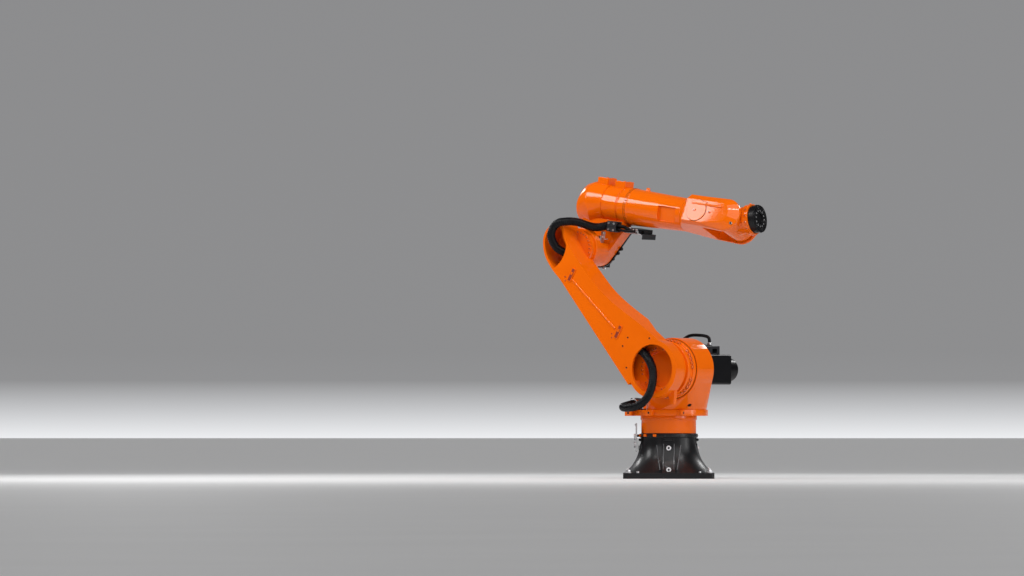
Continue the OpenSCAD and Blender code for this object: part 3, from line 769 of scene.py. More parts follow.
def dress(body: Body, finish: Finish, slot: Slot, bevels: dict[str, float],
          angle: float = 32.0) -> None:
    """Stands softened copies in for CAD nodes.

    Args:
        body: Their body.
        finish: Their finish.
        slot: Handed on to each piece.
        bevels: Edge width in millimetres by node.
        angle: Least angle of an edge that is softened, in degrees.
    """
    for node, bevel in bevels.items():
        softened = Form.of_node(node).soften(bevel, angle)
        softened.piece(f"{node}_shell", body, [finish], slot, [node])


@dataclass
class Studio:
    """Pale floor, soft lights and the photograph's camera."""

    distance: float = 40.0
    eye_height: float = 0.228
    lens: float = 255.6
    aim: Point = (-0.862, 0.0, 1.0487)
    floor_half: float = 1500.0
    floor_tone: float = 0.84
    sky_tone: float = 0.27
    lit_spot: Point = (-0.1, 0.0, 1.0)
    sun_angle: float = 56.0
    suns: Sequence[tuple[str, Point, float]] = (
        ("even", (-0.8, -5.0, 6.4), 1.25), ("side", (6.0, -4.6, 3.0), 1.15))
    boxes: Sequence[tuple[str, Point, Point, float]] = (
        ("left", (-4.4, -1.0, 4.2), (1.6, 2.4), 125.0),
        ("strip", (-0.1, -3.0, 5.0), (3.2, 0.25), 60.0),
        ("right", (4.4, -2.4, 1.5), (0.8, 2.4), 22.0),
        ("rim", (2.8, 3.8, 3.4), (1.0, 1.0), 45.0),
        ("back", (-3.2, 3.6, 3.6), (1.0, 1.0), 45.0))

    def build(self) -> None:
        """Sets up floor, light and camera."""
        bpy.context.scene.view_settings.view_transform = "Standard"
        self.camera()
        self.floor()
        self.sky()
        self.lights()

    def floor(self) -> None:
        """One wide level sheet."""
        bm = bmesh.new()
        bmesh.ops.create_grid(bm, x_segments=8, y_segments=8, size=self.floor_half)
        mesh = bpy.data.meshes.new("studio_floor")
        bm.to_mesh(mesh)
        bm.free()
        shader = Shader("studio_floor")
        low, high = ([share * self.floor_tone] * 3 for share in (0.97, 1.03))
        shader.set(Base_Color=shader.blend(shader.noise(1.2, 2.0), low, high), Roughness=0.6)
        mesh.materials.append(shader.material)
        made = bpy.data.objects.new("studio_floor", mesh)
        bpy.context.scene.collection.objects.link(made)

    def sky(self) -> None:
        """Grey surroundings, palest behind the arm at the floor's edge."""
        world = bpy.data.worlds.new("studio")
        bpy.context.scene.world = world
        world.use_nodes = True
        sky = Nodes(world.node_tree)
        tone = self.sky_tone
        place = sky.node("ShaderNodeTexCoord").outputs["Generated"]
        split = sky.node("ShaderNodeSeparateXYZ", None, {0: place})
        rise = sky.node("ShaderNodeValToRGB", {"stops": (
            (0.0, (0.84, 0.85, 0.87)), (0.0012, (0.74, 0.75, 0.77)),
            (0.008, (tone, tone, 1.02 * tone)), (0.5, (0.8 * tone, 0.8 * tone, 0.84 * tone)))},
            {0: split.outputs["Z"]})
        depth = sky.node("ShaderNodeValToRGB", {"stops": (
            (0.3, [0.16] * 3), (0.85, [0.2] * 3), (0.97, [1.0] * 3))},
            {0: 0.5 * Socket(sky, split.outputs["Y"]) + 0.5})
        both = sky.node("ShaderNodeVectorMath", {"operation": "MULTIPLY"},
                        {0: rise.outputs[0], 1: depth.outputs[0]})
        light = sky.node("ShaderNodeBackground", None, {"Color": both.outputs[0], "Strength": 1.0})
        sky.node("ShaderNodeOutputWorld", None, {"Surface": light.outputs[0]})

    def lights(self) -> None:
        """Wide even suns, and narrow soft boxes that draw the highlights."""
        for name, spot, strength in self.suns:
            sun = bpy.data.lights.new(name, "SUN")
            sun.energy = strength
            sun.angle = math.radians(self.sun_angle)
            self.hang(name, sun, spot, self.lit_spot)
        for name, spot, size, power in self.boxes:
            box = bpy.data.lights.new(name, "AREA")
            box.shape = "RECTANGLE"
            box.energy = power
            box.size, box.size_y = size
            self.hang(name, box, spot, self.lit_spot)

    def camera(self) -> None:
        """Camera at the photograph's angle, far off and nearly level."""
        data = bpy.data.cameras.new("photo_camera")
        data.lens = self.lens
        data.sensor_width = 36.0
        data.clip_end = 2 * self.floor_half
        spot = (0.0, -self.distance, self.eye_height)
        bpy.context.scene.camera = self.hang("photo_camera", data, spot, self.aim)

    @staticmethod
    def hang(name: str, data: bpy.types.ID, spot: Point, target: Point) -> bpy.types.Object:
        """Hangs a light or the camera at a spot, turned towards a target.

        Args:
            name: The object's name.
            data: The light or the camera.
            spot: Its place in metres.
            target: The place at which it points, in metres.

        Returns:
            The object.
        """
        made = bpy.data.objects.new(name, data)
        made.location = spot
        made.rotation_mode = "QUATERNION"
        made.rotation_quaternion = (Vector(target) - made.location).to_track_quat("-Z", "Y")
        bpy.context.scene.collection.objects.link(made)
        return made


@dataclass
class Hoses:
    """Supply hose in three lengths and the two motor cables."""

    hose_radius: float = 23.0
    ridge: float = 1.7
    pitch: float = 9.0
    cable_radius: float = 9.0
    cable_step: float = 8.0
    hose_x: float = -30.0
    hose_y: float = -276.5
    arm_low: float = 290.0
    arm_high: float = 800.0
    lower: Sequence[Point] = (
        (-112, -150.3, 410), (-112, -172, 410), (-112, -196, 408), (-114, -240, 400),
        (-98, -292, 394), (-58, -342, 390), (4, -376, 390), (80, -392, 404), (138, -394, 450),
        (164, -388, 520), (158, -376, 588), (126, -356, 636), (88, -330, 664), (50, -308, 688),
        (14, -307, 711), (-18, -296, 736))
    upper: Sequence[Point] = (
        (-45, -322, -22), (-69, -348, 4), (-81, -375, 52), (-68, -380, 103), (-39, -375, 132),
        (-15, -352, 141), (4, -318, 145), (27, -280, 143), (46, -248, 135), (60, -215, 127),
        (64, -175, 124), (72, -140, 126), (84, -114, 133), (96, -102, 138), (112, -102, 138),
        (128, -102, 138), (170, -102, 138))
    motor: Sequence[Point] = (
        (110, 235, 750.8), (110, 235, 756.5), (110, 235, 762.5), (98, 238, 780), (45, 242, 790),
        (-35, 241, 786), (-92, 230, 738), (-110, 216, 650), (-120, 206, 550), (-132, 198, 470),
        (-165, 192, 434), (-205, 186, 440), (-226, 172, 490), (-226, 150, 560),
        (-222, 135, 621.7), (-222, 135, 645.7), (-222, 135, 669.7))
    elbow: Sequence[Point] = (
        (68, 85.3, 140), (68, 95, 140), (68, 105, 140), (44, 116, 139), (0, 119, 142),
        (-60, 122, 152), (-115, 122, 160), (-152, 108, 158), (-168, 92, 138), (-152, 84, 106),
        (-122, 80, 80), (-90, 78, 67), (-76, 78, 67), (-62.3, 78, 67))

    def build(self) -> None:
        """Draws the hoses and cables along their routes."""
        column, arm, elbow = STANCE.column(), STANCE.arm(), STANCE.elbow()
        low_end = [self._over(column, arm, self.arm_low - z) for z in (58.0, 29.0, 0.3)]
        high_end = [self._over(elbow, arm, self.arm_high + z) for z in (0.3, 30.0, 60.0)]
        lower = self.ribbed(column, [*self.lower, *low_end])
        made = lower.piece("lower_hose_ribbed", Body.COLUMN, [HOSE], Slot.RUBBER,
                           ["lower_hose"], False)
        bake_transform(made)
        straight = [(self.hose_x, self.hose_y, z) for z in (self.arm_low, 500.0, self.arm_high)]
        self.ribbed(arm, straight).piece("arm_hose_ribbed", Body.LINK_ARM, [HOSE], Slot.RUBBER,
                                         ["arm_hose"])
        upper = self.ribbed(elbow, [*high_end, *self.upper])
        made = upper.piece("upper_hose_ribbed", Body.LINK_ARM, [HOSE], Slot.RUBBER,
                           ["upper_hose"], False)
        elbow @ (Vector((0.0, -330.0, 0.0)) * MM)
        elbow @ (Vector((0.0, -120.0, 0.0)) * MM)
        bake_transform(made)
        self.cable("motor_cable_round", Body.COLUMN, column, self.motor, "motor_cable")
        self.cable("elbow_cable_round", Body.ELBOW, elbow, self.elbow, "elbow_cables")

    def _over(self, into: Matrix, arm: Matrix, height: float) -> Point:
        """A point of the arm's hose line in another frame, in millimetres."""
        spot = Vector((self.hose_x, self.hose_y, height)) * MM
        return tuple((into.inverted() @ arm @ spot) / MM)

    def ribbed(self, place: Matrix, points: Sequence[Point]) -> Form:
        """A corrugated hose, with a ridge on two of every four steps.

        Args:
            place: Frame of the points.
            points: Route in millimetres.

        Returns:
            The hose.
        """
        path = route(points, self.pitch / 4)
        low = self.hose_radius - self.ridge
        form = Form(place)
        form.sweep(path, [low if i % 4 in (2, 3) else self.hose_radius for i in range(len(path))],
                   20, (0.1, 0.2, 1.0))
        return form

    def cable(self, name: str, body: Body, place: Matrix, points: Sequence[Point],
              node: str) -> None:
        """Draws a smooth cable.

        Args:
            name: The piece's name.
            body: The body on which it rides.
            place: Frame of the points.
            points: Route in millimetres.
            node: The CAD node that it replaces.
        """
        form = Form(place)
        form.cord(route(points, self.cable_step), self.cable_radius, 16, (0.1, 1.0, 0.2))
        form.piece(name, body, [CABLE], Slot.RUBBER, [node])


@dataclass
class Pedestal:
    """Foot plate, lobed pedestal, bearing ring and the panel behind."""

    foot_top: float = 32.0
    anchor_half: float = 222.0
    level_half: float = 170.0
    level_edge: float = 232.0
    boss_radius: float = 13.5
    boss_hole: float = 5.6
    panel_x: float = -182.0
    panel_z: float = 225.0
    ring_radius: float = 160.0
    ring_low: float = 225.0
    keeper_z: float = 214.0
    edge_radius: float = 3.2
    edge_step: float = 8.0
    rib_lines: Sequence[Profile] = (
        ((29.0, 192.0), (29.0, 50.0)), ((66.0, 184.0), (58.0, 120.0), (47.0, 50.0)))

    def build(self) -> None:
        """Dresses the castings and adds their fasteners."""
        dress(Body.BASE, CASTING, Slot.CASTING, {"foot_plate": 4.0})
        dress(Body.BASE, CASTING, Slot.CASTING, {"pedestal": 2.5}, 50.0)
        dress(Body.BASE, CASTING, Slot.CASTING, {"bearing_ring": 3.0, "panel_bracket": 1.5})
        dress(Body.BASE, ORANGE, Slot.ORANGE, {"slew_stops": 1.5})
        dress(Body.BASE, PANEL, Slot.STEEL, {"rear_panel": 1.5})
        self.bosses()
        self.rib_edges()
        self.anchors()
        self.ring_screws()
        self.panel_sockets()

    def bosses(self) -> None:
        """Steel rings with a hole, in the rib on each side, the hole dark as painted shade."""
        form = Form()
        hole, radius = self.boss_hole, self.boss_radius
        profile = [(0.0, -6.0), (hole, -6.0), (hole, 2.6), (hole + 1.4, 4.0),
                   (radius - 1.2, 4.0), (radius, 2.8), (radius, -9.0)]
        low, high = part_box("rib_bosses")
        skin = Surface("rib_bosses")
        for spin, height in product(QUARTERS, (low.z / MM + radius, high.z / MM - radius)):
            form.turned(profile, skin.front(0.0, height, spin) @ tuned((0.0, 0.0, 1.0)),
                        32, 0, (hole, 1))
        form.piece("rib_boss_rings", Body.BASE, [ZINC, SEAL_AND_HOLE_SHADE], Slot.STEEL, ["rib_bosses"])

    def rib_edges(self) -> None:
        """Raised cast edges along both sides of each rib and of the hollow beside it, in grey as
        painted highlight.
        """
        form = Form()
        skin = Surface("pedestal")
        for spin, line, side in product(QUARTERS, self.rib_lines, (-1.0, 1.0)):
            path = [skin.front(side * x, z, spin).translation for x, z in self.stepped(line)]
            form.cord(path, self.edge_radius, 10, (0.3, 0.2, 0.1))
        form.piece("rib_edges", Body.BASE, [EDGE_PAINTED_HIGHLIGHT], Slot.CASTING)

    def stepped(self, line: Profile) -> list[tuple[float, float]]:
        """Breaks a line into short steps.

        Args:
            line: Its corners, in millimetres.

        Returns:
            Points along it.
        """
        points = [line[0]]
        for (xa, za), (xb, zb) in zip(line, line[1:]):
            count = max(1, round(abs(zb - za) / self.edge_step))
            points += [(xa + (xb - xa) * i / count, za + (zb - za) * i / count)
                       for i in range(1, count + 1)]
        return points

    def anchors(self) -> None:
        """Anchor bolts with washers, and levelling screws beside them."""
        form = Form()
        washer = [(0.0, 0.0), (21.0, 0.0), (21.0, 2.6), (20.0, 3.4), (0.0, 3.4)]
        stud = [(0.0, 12.0), (8.6, 12.0), (8.6, 19.0), (7.6, 20.0), (0.0, 20.0)]
        half, edge = self.level_half, self.level_edge
        for x, y in corners(1.0, 1.0):
            place = tuned((x * self.anchor_half, y * self.anchor_half, self.foot_top))
            form.turned(washer, place, 28)
            Hexagon(15.0, 13.0, 1.2).draw(form, place @ tuned((0.0, 0.0, 3.4)))
            form.turned(stud, place, 16)
            for across, along in ((half, edge), (edge, half)):
                level = tuned((x * across, y * along, self.foot_top))
                Hexagon(8.5, 8.0, 0.8).draw(form, level)
        form.piece("anchor_bolts", Body.BASE, [STEEL], Slot.STEEL)

    def ring_screws(self) -> None:
        """Screws round the bearing ring's rim, and small keeper plates under it."""
        rim = tuned((self.ring_radius - 1.0, 0.0, self.ring_low + 11.0), AHEAD)
        fasten("ring_screws", Body.BASE, [DARK, SEAL_AND_HOLE_SHADE], Slot.DARK,
               (Screw(4.5, 3.5), [turn(a + 7.5) @ rim for a in range(0, 360, 15)]))
        keeper = Form()
        for spin in QUARTERS:
            keeper.block((58.0, 10.0, 16.0), spin @ tuned((0.0, -157.0, self.keeper_z)), 2.0)
            for x in (-21.0, 21.0):
                Screw(4.6, 3.6).draw(keeper, spin @ tuned((x, -162.0, self.keeper_z), ARM_SIDE))
        keeper.piece("ring_keepers", Body.BASE, [CASTING, SEAL_AND_HOLE_SHADE], Slot.CASTING)

    def panel_sockets(self) -> None:
        """Round sockets and corner screws on the connection panel."""
        form = Form(tuned((self.panel_x, 0.0, self.panel_z)))
        socket = [(0.0, -1.0), (17.0, -1.0), (17.0, 8.0), (15.5, 9.5), (12.0, 9.5), (12.0, 3.0),
                  (0.0, 3.0)]
        for y, z in product((-36.0, 0.0, 36.0), (-38.0, 4.0)):
            form.turned(socket, tuned((0.0, y, z), BEHIND), 24, 0, (12.0, 1))
        for y, z in corners(60.0, 70.0):
            # Key holes of the corner screws in dark plastic as painted shade.
            Screw(5.0, 4.0).draw(form, tuned((0.0, y, z), BEHIND))
        form.piece("panel_sockets", Body.BASE, [STEEL, PLASTIC], Slot.STEEL)


@dataclass
class Column:
    """Turning drum, carrier plate, shoulder housing and the motors on them."""

    lug_faces: Sequence[tuple[Point, Point]] = (
        ((0.0, -193.0), (0.0, -1.0)), ((0.0, 193.0), (0.0, 1.0)),
        ((-188.0, -130.0), (-1.0, 0.0)), ((-165.0, -153.0), (0.0, -1.0)),
        ((-188.0, 130.0), (-1.0, 0.0)), ((-165.0, 153.0), (0.0, 1.0)),
        ((173.0, -105.0), (1.0, 0.0)), ((173.0, 105.0), (1.0, 0.0)))
    plate_mid: float = 361.0
    gear_step: float = 183.0
    gear_circle: float = 154.5
    housing_face: float = 155.0
    drum_radius: float = 151.0
    drum_foot: float = 247.5
    motor_end: float = 300.0
    motor_bolt: float = 68.0
    flange_bolt: float = 74.0
    slew_top: float = 745.0
    slew_axis: tuple[float, float] = (-140.0, 95.0)
    slew_bolt: float = 55.0
    oil_hole: tuple[float, float] = (113.0, 404.0)
    hose_end: Point = (-112.0, -150.0, 410.0)

    def build(self) -> None:
        """Dresses the castings and motors and adds their fasteners."""
        dress(Body.COLUMN, ORANGE, Slot.ORANGE,
              {"slew_drum": 3.0, "carrier_plate": 3.0, "column_housing": 4.0,
               "shoulder_gear": 4.0, "motor_adaptor": 2.5, "slew_gearbox": 3.0})
        dress(Body.COLUMN, MOTOR, Slot.MOTOR,
              {"shoulder_motor": 3.0, "shoulder_motor_cap": 10.0, "slew_motor": 3.0,
               "slew_motor_cap": 5.0})
        dress(Body.COLUMN, DARK, Slot.DARK, {"motor_terminals": 3.0, "hose_bracket": 1.5})
        dress(Body.COLUMN, STEEL, Slot.STEEL, {"cable_plugs": 2.0})
        self.gear_screws()
        self.lug_holes()
        self.seams()
        self.motor_bolts()
        self.terminal_lids()
        self.hose_fitting()

    def shoulder(self, out: float) -> Matrix:
        """Placing on the shoulder axis, +Z out to the arm's side."""
        return STANCE.column() @ tuned((STANCE.shoulder_x, -out, STANCE.shoulder_z), ARM_SIDE)

    def gear_screws(self) -> None:
        """Screws in groups round the shoulder gear, each on a thin disc of painted shade."""
        form = Form()
        seat = [(0.0, 0.0), (11.0, 0.0), (11.0, 0.5), (0.0, 0.5)]
        angles = grouped(range(4, 364, 60), 5, 8.6)
        for place in ring_places(self.gear_circle, angles, self.shoulder(self.gear_step)):
            Screw(8.6, 9.0).draw(form, place)
            # Thin dark disc round each screw head: a painted shadow.
            form.turned(seat, place, 16, 1)
        form.piece("shoulder_gear_screws", Body.COLUMN, [ORANGE_HEADS_PAINTED_HIGHLIGHT, PAINTED_SHADE], Slot.ORANGE)

    def lug_holes(self) -> None:
        """Tapped holes in the carrier plate's lugs, their floors dark as painted shade."""
        places = [STANCE.column() @ tuned((*spot, self.plate_mid), (*out, 0.0))
                  for spot, out in self.lug_faces]
        fasten("lug_holes", Body.COLUMN, [ORANGE_HEADS_PAINTED_HIGHLIGHT, SEAL_AND_HOLE_SHADE], Slot.ORANGE,
               (Eyelet(10.0, 1.2, 6.4), places))

    def seams(self) -> None:
        """Dark joint lines under the drum and behind the shoulder gear, and the oil hole with its
        floor dark as painted shade.
        """
        seam = Form()
        seam.turned(band(162.0, 165.6, 0.0, 0.9), self.shoulder(self.housing_face), 96)
        seam.turned(band(self.drum_radius - 4.0, self.drum_radius + 0.8, -0.4, 2.2),
                    tuned((0.0, 0.0, self.drum_foot)), 96)
        seam.piece("joint_lines", Body.COLUMN, [SEAL_AND_HOLE_SHADE], Slot.RUBBER)
        fasten("oil_hole", Body.COLUMN, [ORANGE, SEAL_AND_HOLE_SHADE], Slot.ORANGE,
               (Eyelet(15.0, 2.4, 11.5), [Surface("column_housing").front(*self.oil_hole)]))

    def motor_bolts(self) -> None:
        """Corner bolts of both motors, and the flanges that carry them."""
        axis = STANCE.column() @ tuned((STANCE.shoulder_x, 0.0, STANCE.shoulder_z))
        slew = STANCE.column() @ tuned((*self.slew_axis, 0.0))
        ends = [axis @ tuned((x, self.motor_end, z), MOTOR_SIDE)
                for x, z in corners(self.motor_bolt, self.motor_bolt)]
        tops = [slew @ tuned((x, y, self.slew_top))
                for x, y in corners(self.slew_bolt, self.slew_bolt)]
        fasten("motor_bolts", Body.COLUMN, [DARK, SEAL_AND_HOLE_SHADE], Slot.DARK,
               (Screw(7.0, 7.0), ends), (Screw(6.0, 6.0), tops))
        flange = Form()
        flange.block((173.0, 13.0, 173.0), axis @ tuned((0.0, 67.0, 0.0)), 4.0)
        flange.block((144.0, 144.0, 11.0), slew @ tuned((0.0, 0.0, 497.0)), 4.0)
        for x, z in corners(self.flange_bolt, self.flange_bolt):
            Screw(6.5, 6.0).draw(flange, axis @ tuned((x, 73.0, z), MOTOR_SIDE))
        flange.piece("motor_flanges", Body.COLUMN, [MOTOR, SEAL_AND_HOLE_SHADE], Slot.MOTOR)

    def terminal_lids(self) -> None:
        """Lids on the terminal rail, with their screws, and silver plugs beside it."""
        form = Form(STANCE.column())
        for y in (108.0, 178.0):
            form.block((56.0, 60.0, 6.0), tuned((117.0, y, 732.5)), 1.6)
            for x, across in corners(20.0, 22.0):
                Screw(3.6, 2.6).draw(form, tuned((117.0 + x, y + across, 735.4)))
        form.piece("terminal_lids", Body.COLUMN, [DARK, SEAL_AND_HOLE_SHADE], Slot.DARK)
        plugs = Form(STANCE.column())
        plug = [(0.0, -2.0), (14.0, -2.0), (14.0, 5.0), (12.4, 6.2), (12.4, 17.0), (11.2, 18.2),
                (0.0, 18.2)]
        for y in (100.0, 195.0, 258.0):
            plugs.turned(plug, tuned((85.0, y, 706.0), BEHIND), 24)
        plugs.piece("terminal_plugs", Body.COLUMN, [STEEL], Slot.STEEL)

    def hose_fitting(self) -> None:
        """Silver nuts and ferrule that hold the supply hose in its bracket."""
        form = Form(STANCE.column() @ tuned(self.hose_end, ARM_SIDE))
        Hexagon(35.0, 12.0, 1.6).draw(form, Matrix.Identity(4))
        form.turned([(0.0, 11.0), (30.0, 11.0), (30.0, 24.0), (28.0, 27.0), (25.0, 28.0),
                     (0.0, 28.0)], Matrix.Identity(4), 36)
        Hexagon(35.0, 9.0, 1.6).draw(form, tuned((0.0, 0.0, -15.0)))
        form.piece("hose_fitting", Body.COLUMN, [STEEL], Slot.STEEL)
        spots = [Vector(self.hose_end) + Vector((x, 0.0, -22.0)) for x in (-30.0, 30.0)]
        fasten("bracket_bolts", Body.COLUMN, [STEEL], Slot.STEEL,
               (Hexagon(7.5, 5.5, 0.8), [STANCE.column() @ tuned(s, ARM_SIDE) for s in spots]))


@dataclass
class LinkArm:
    """Hollow arm between shoulder and elbow."""

    outer: float = -345.0
    floor: float = -276.0
    floor_screws: float = 112.0
    seat: float = -230.0
    seat_screws: float = 86.0
    ridge: Sequence[Point] = ((-80.0, -344.0, 724.0), (-72.0, -344.0, 640.0),
                              (-56.0, -344.0, 480.0), (-41.0, -344.0, 330.0))
    ridge_radius: float = 6.0
    clips: Profile = ((-65.0, 746.0), (-35.0, 301.0))
    slot_turn: float = -20.0
    eyelets: Profile = ((-105.0, 767.0), (-231.0, 608.0), (-251.0, 726.0), (-223.0, 772.0))

    def build(self) -> None:
        """Dresses the arm and adds its fasteners."""
        dress(Body.LINK_ARM, ORANGE, Slot.ORANGE, {"link_arm": 8.0, "shoulder_flange": 2.5})
        self.clip_slots()
        self.long_ridge()
        self.fasteners()

    def clip_slots(self) -> None:
        """Slot of each clip as a thin block of painted shade, its tab, and the eyelets beside it
        with holes in painted shade.
        """
        form = Form(STANCE.arm())
        for x, z in self.clips:
            place = tuned((x, self.outer, z)) @ turn(self.slot_turn, "Y")
            form.block((78.0, 6.0, 24.0), place @ tuned((0.0, -2.6, 0.0)), 2.0)
            # Thin block in painted shade standing for the shaded inside of the slot.
            form.block((71.0, 1.6, 17.0), place @ tuned((0.0, -5.6, 0.0)), 0.5, 1)
            form.block((17.0, 4.0, 12.0), place @ tuned((8.0, -6.4, 0.0)), 1.2)
            for spot in ((-48.0, 0.0, 24.0), (-30.0, 0.0, 34.0)):
                Eyelet(6.0, 1.6, 3.6).draw(form, place @ tuned(spot, ARM_SIDE))
        form.piece("clip_slots", Body.LINK_ARM, [ORANGE, PAINTED_SHADE], Slot.ORANGE, ["arm_clips"])

    def long_ridge(self) -> None:
        """Raised bead between the clips."""
        form = Form(STANCE.arm())
        form.cord(route(self.ridge, 20.0), self.ridge_radius, 12, MOTOR_SIDE)
        form.piece("arm_ridge", Body.LINK_ARM, [ORANGE], Slot.ORANGE)

    def fasteners(self) -> None:
        """Screws on the arm's floor at the shoulder and on the elbow seat, and eyelets outside."""
        floor = STANCE.arm() @ tuned((0.0, self.floor, 0.0), ARM_SIDE)
        seat = STANCE.arm() @ tuned((0.0, self.seat, STANCE.arm_length), ARM_SIDE)
        angles = grouped(range(0, 360, 60), 4, 11.0)
        # Key holes of these screws in painted shade.
        fasten("arm_screws", Body.LINK_ARM, [ORANGE_HEADS_PAINTED_HIGHLIGHT, PAINTED_SHADE], Slot.ORANGE,
               (Screw(7.0, 7.0), ring_places(self.floor_screws, angles, floor)),
               (Screw(6.4, 7.0), ring_places(self.seat_screws, range(-60, 46, 15), seat)))
        skin = Surface("link_arm")
        fasten("arm_eyelets", Body.LINK_ARM, [ORANGE, SEAL_AND_HOLE_SHADE], Slot.ORANGE,
               (Eyelet(8.5, 1.6, 5.0), [skin.front(x, z) for x, z in self.eyelets]))


@dataclass
class Elbow:
    """Elbow gear, housings, motor and brackets."""

    clamp_mid: Point = (141.0, -131.0, 138.0)
    side_bolts: Sequence[Point] = ((-14.0, -146.0, 58.0), (76.0, -146.0, 60.0))
    angle_bolts: Sequence[Point] = ((97.0, -138.4, 74.0), (97.0, -138.4, 94.0))
    plate_face: float = 22.0
    plate_lugs: Profile = ((121.0, 14.0), (102.0, -12.0), (72.0, -47.0), (53.0, -66.0))
    plate_x: float = -15.0
    plate_bolts: float = 92.0
    block_side: float = -54.0
    leads: Sequence[Sequence[Point]] = (
        ((166, -112, 147), (184, -110, 148), (204, -96, 145), (214, -76, 138), (216, -55, 133)),
        ((166, -92, 143), (186, -92, 142), (214, -86, 137), (234, -74, 131), (238, -55, 128)),
        ((166, -104, 127), (190, -104, 124), (226, -98, 124), (254, -80, 127), (260, -55, 130)))
    lead_radius: float = 7.5
    pads: Sequence[Point] = ((-46.0, 67.0, 139.0), (73.0, 66.0, 132.0))
    tail_end: float = -145.0
    tail_drop: float = 30.0
    tail_circle: float = 56.0
    motor_axis: tuple[float, float] = (-30.0, 5.0)
    motor_end: float = 140.0
    motor_circle: float = 38.0

    def build(self) -> None:
        """Dresses the housings and adds their fasteners."""
        dress(Body.ELBOW, ORANGE, Slot.ORANGE,
              {"elbow_gear": 3.0, "elbow_housing": 12.0, "rear_housing": 3.0})
        dress(Body.ELBOW, MOTOR, Slot.MOTOR,
              {"motor_plate": 3.0, "elbow_motor": 2.5, "elbow_motor_cap": 6.0,
               "connector_block": 2.0})
        dress(Body.ELBOW, STEEL, Slot.STEEL,
              {"elbow_plugs": 2.0, "side_bracket": 1.2, "socket_plate": 1.2})
        dress(Body.ELBOW, DARK, Slot.STEEL, {"front_bracket": 1.2})
        dress(Body.ELBOW, DARK, Slot.DARK, {"hose_clamp": 2.0})
        self.clamp_bolts()
        self.lead_bundle()
        self.plate_edge()
        self.pad_holes()
        self.tail_cover()

    def clamp_bolts(self) -> None:
        """Parting line and bolts of the hose clamp, and angle pieces with their bolts."""
        form = Form(STANCE.elbow())
        middle = Vector(self.clamp_mid)
        form.block((58.6, 1.4, 2.2), tuned(middle + Vector((0.0, -0.3, 0.0))), 0.3, 1)
        for x, z in corners(17.0, 18.0):
            Hexagon(7.0, 5.0).draw(form, tuned(middle + Vector((x, 0.0, z)), ARM_SIDE))
        for spot in self.side_bolts:
            Hexagon(6.5, 5.0).draw(form, tuned(spot, ARM_SIDE))
        form.block((26.0, 5.0, 44.0), tuned((97.0, -136.0, 84.0)), 1.2)
        form.block((26.0, 34.0, 5.0), tuned((97.0, -119.0, 64.0)), 1.2)
        form.block((96.0, 2.4, 6.0), tuned((248.0, -62.8, 114.6)), 0.8)
        for spot in self.angle_bolts:
            Hexagon(6.0, 4.6).draw(form, tuned(spot, ARM_SIDE))
        form.piece("clamp_bolts", Body.ELBOW, [STEEL, SEAL_AND_HOLE_SHADE], Slot.STEEL)

    def lead_bundle(self) -> None:
        """Leads from the clamp into the connector block, their plugs and white tags."""
        leads, plugs, tags = (Form(STANCE.elbow()) for _ in range(3))
        plug = [(0.0, -1.0), (11.0, -1.0), (11.0, 5.0), (9.6, 6.0), (9.6, 15.0), (8.0, 17.0),
                (0.0, 17.0)]
        for points in self.leads:
            leads.cord(route(points, 5.0), self.lead_radius, 14, (0.1, 0.2, 1.0))
            x, _, z = points[-1]
            plugs.turned(plug, tuned((x, self.block_side, z), ARM_SIDE), 20, 0, (8.2, 1))
        for x in (280.0, 306.0):
            plugs.block((12.0, 26.0, 16.0), tuned((x, -30.0, 125.0)), 1.4, 1)
        for x in (206.0, 270.0):
            tags.block((9.0, 4.0, 9.0), tuned((x, -55.5, 124.0)), 1.0)
        leads.piece("elbow_leads", Body.ELBOW, [CABLE], Slot.RUBBER)
        plugs.piece("lead_plugs", Body.ELBOW, [STEEL, PLASTIC], Slot.STEEL)
        tags.piece("lead_tags", Body.ELBOW, [TAG], Slot.STEEL)

    def plate_edge(self) -> None:
        """Lugs along the motor plate's edge, its bolts and the motor's bolts."""
        form = Form(STANCE.elbow())
        lug = [(0.0, 1.0), (11.0, 1.0), (11.0, 16.0), (9.6, 17.4), (0.0, 17.4)]
        for x, z in self.plate_lugs:
            form.turned(lug, tuned((x, 5.0, z), MOTOR_SIDE), 20)
        form.piece("plate_lugs", Body.ELBOW, [MOTOR], Slot.MOTOR)
        turns = [math.radians(angle) for angle in range(195, 340, 24)]
        edge = [STANCE.elbow() @ tuned((self.plate_x + self.plate_bolts * math.cos(t),
                                        self.plate_face, self.plate_bolts * math.sin(t)),
                                       MOTOR_SIDE) for t in turns]
        x, z = self.motor_axis
        end = STANCE.elbow() @ tuned((x, self.motor_end, z), MOTOR_SIDE)
        fasten("plate_bolts", Body.ELBOW, [DARK, SEAL_AND_HOLE_SHADE], Slot.DARK, (Hexagon(7.0, 5.0), edge),
               (Screw(4.6, 4.0), ring_places(self.motor_circle, range(45, 405, 90), end)))

    def pad_holes(self) -> None:
        """Pale orange sheets on the tops of the two pads as painted highlight, with tapped holes
        dark as painted shade.
        """
        form = Form(STANCE.forearm())
        for start, length, height in self.pads:
            # Pale sheet over the pad's top: painted highlight of its lit top.
            form.block((length - 10.0, 74.0, 1.6),
                       tuned((start + length / 2, 0.0, height + 0.2)), 0.5)
            for x, y in product((0.22, 0.78), (-26.0, 26.0)):
                Eyelet(7.5, 1.2, 5.0).draw(form, tuned((start + x * length, y, height + 0.8)))
        form.piece("pad_tops", Body.ELBOW, [ORANGE_HEADS_PAINTED_HIGHLIGHT, SEAL_AND_HOLE_SHADE], Slot.ORANGE)

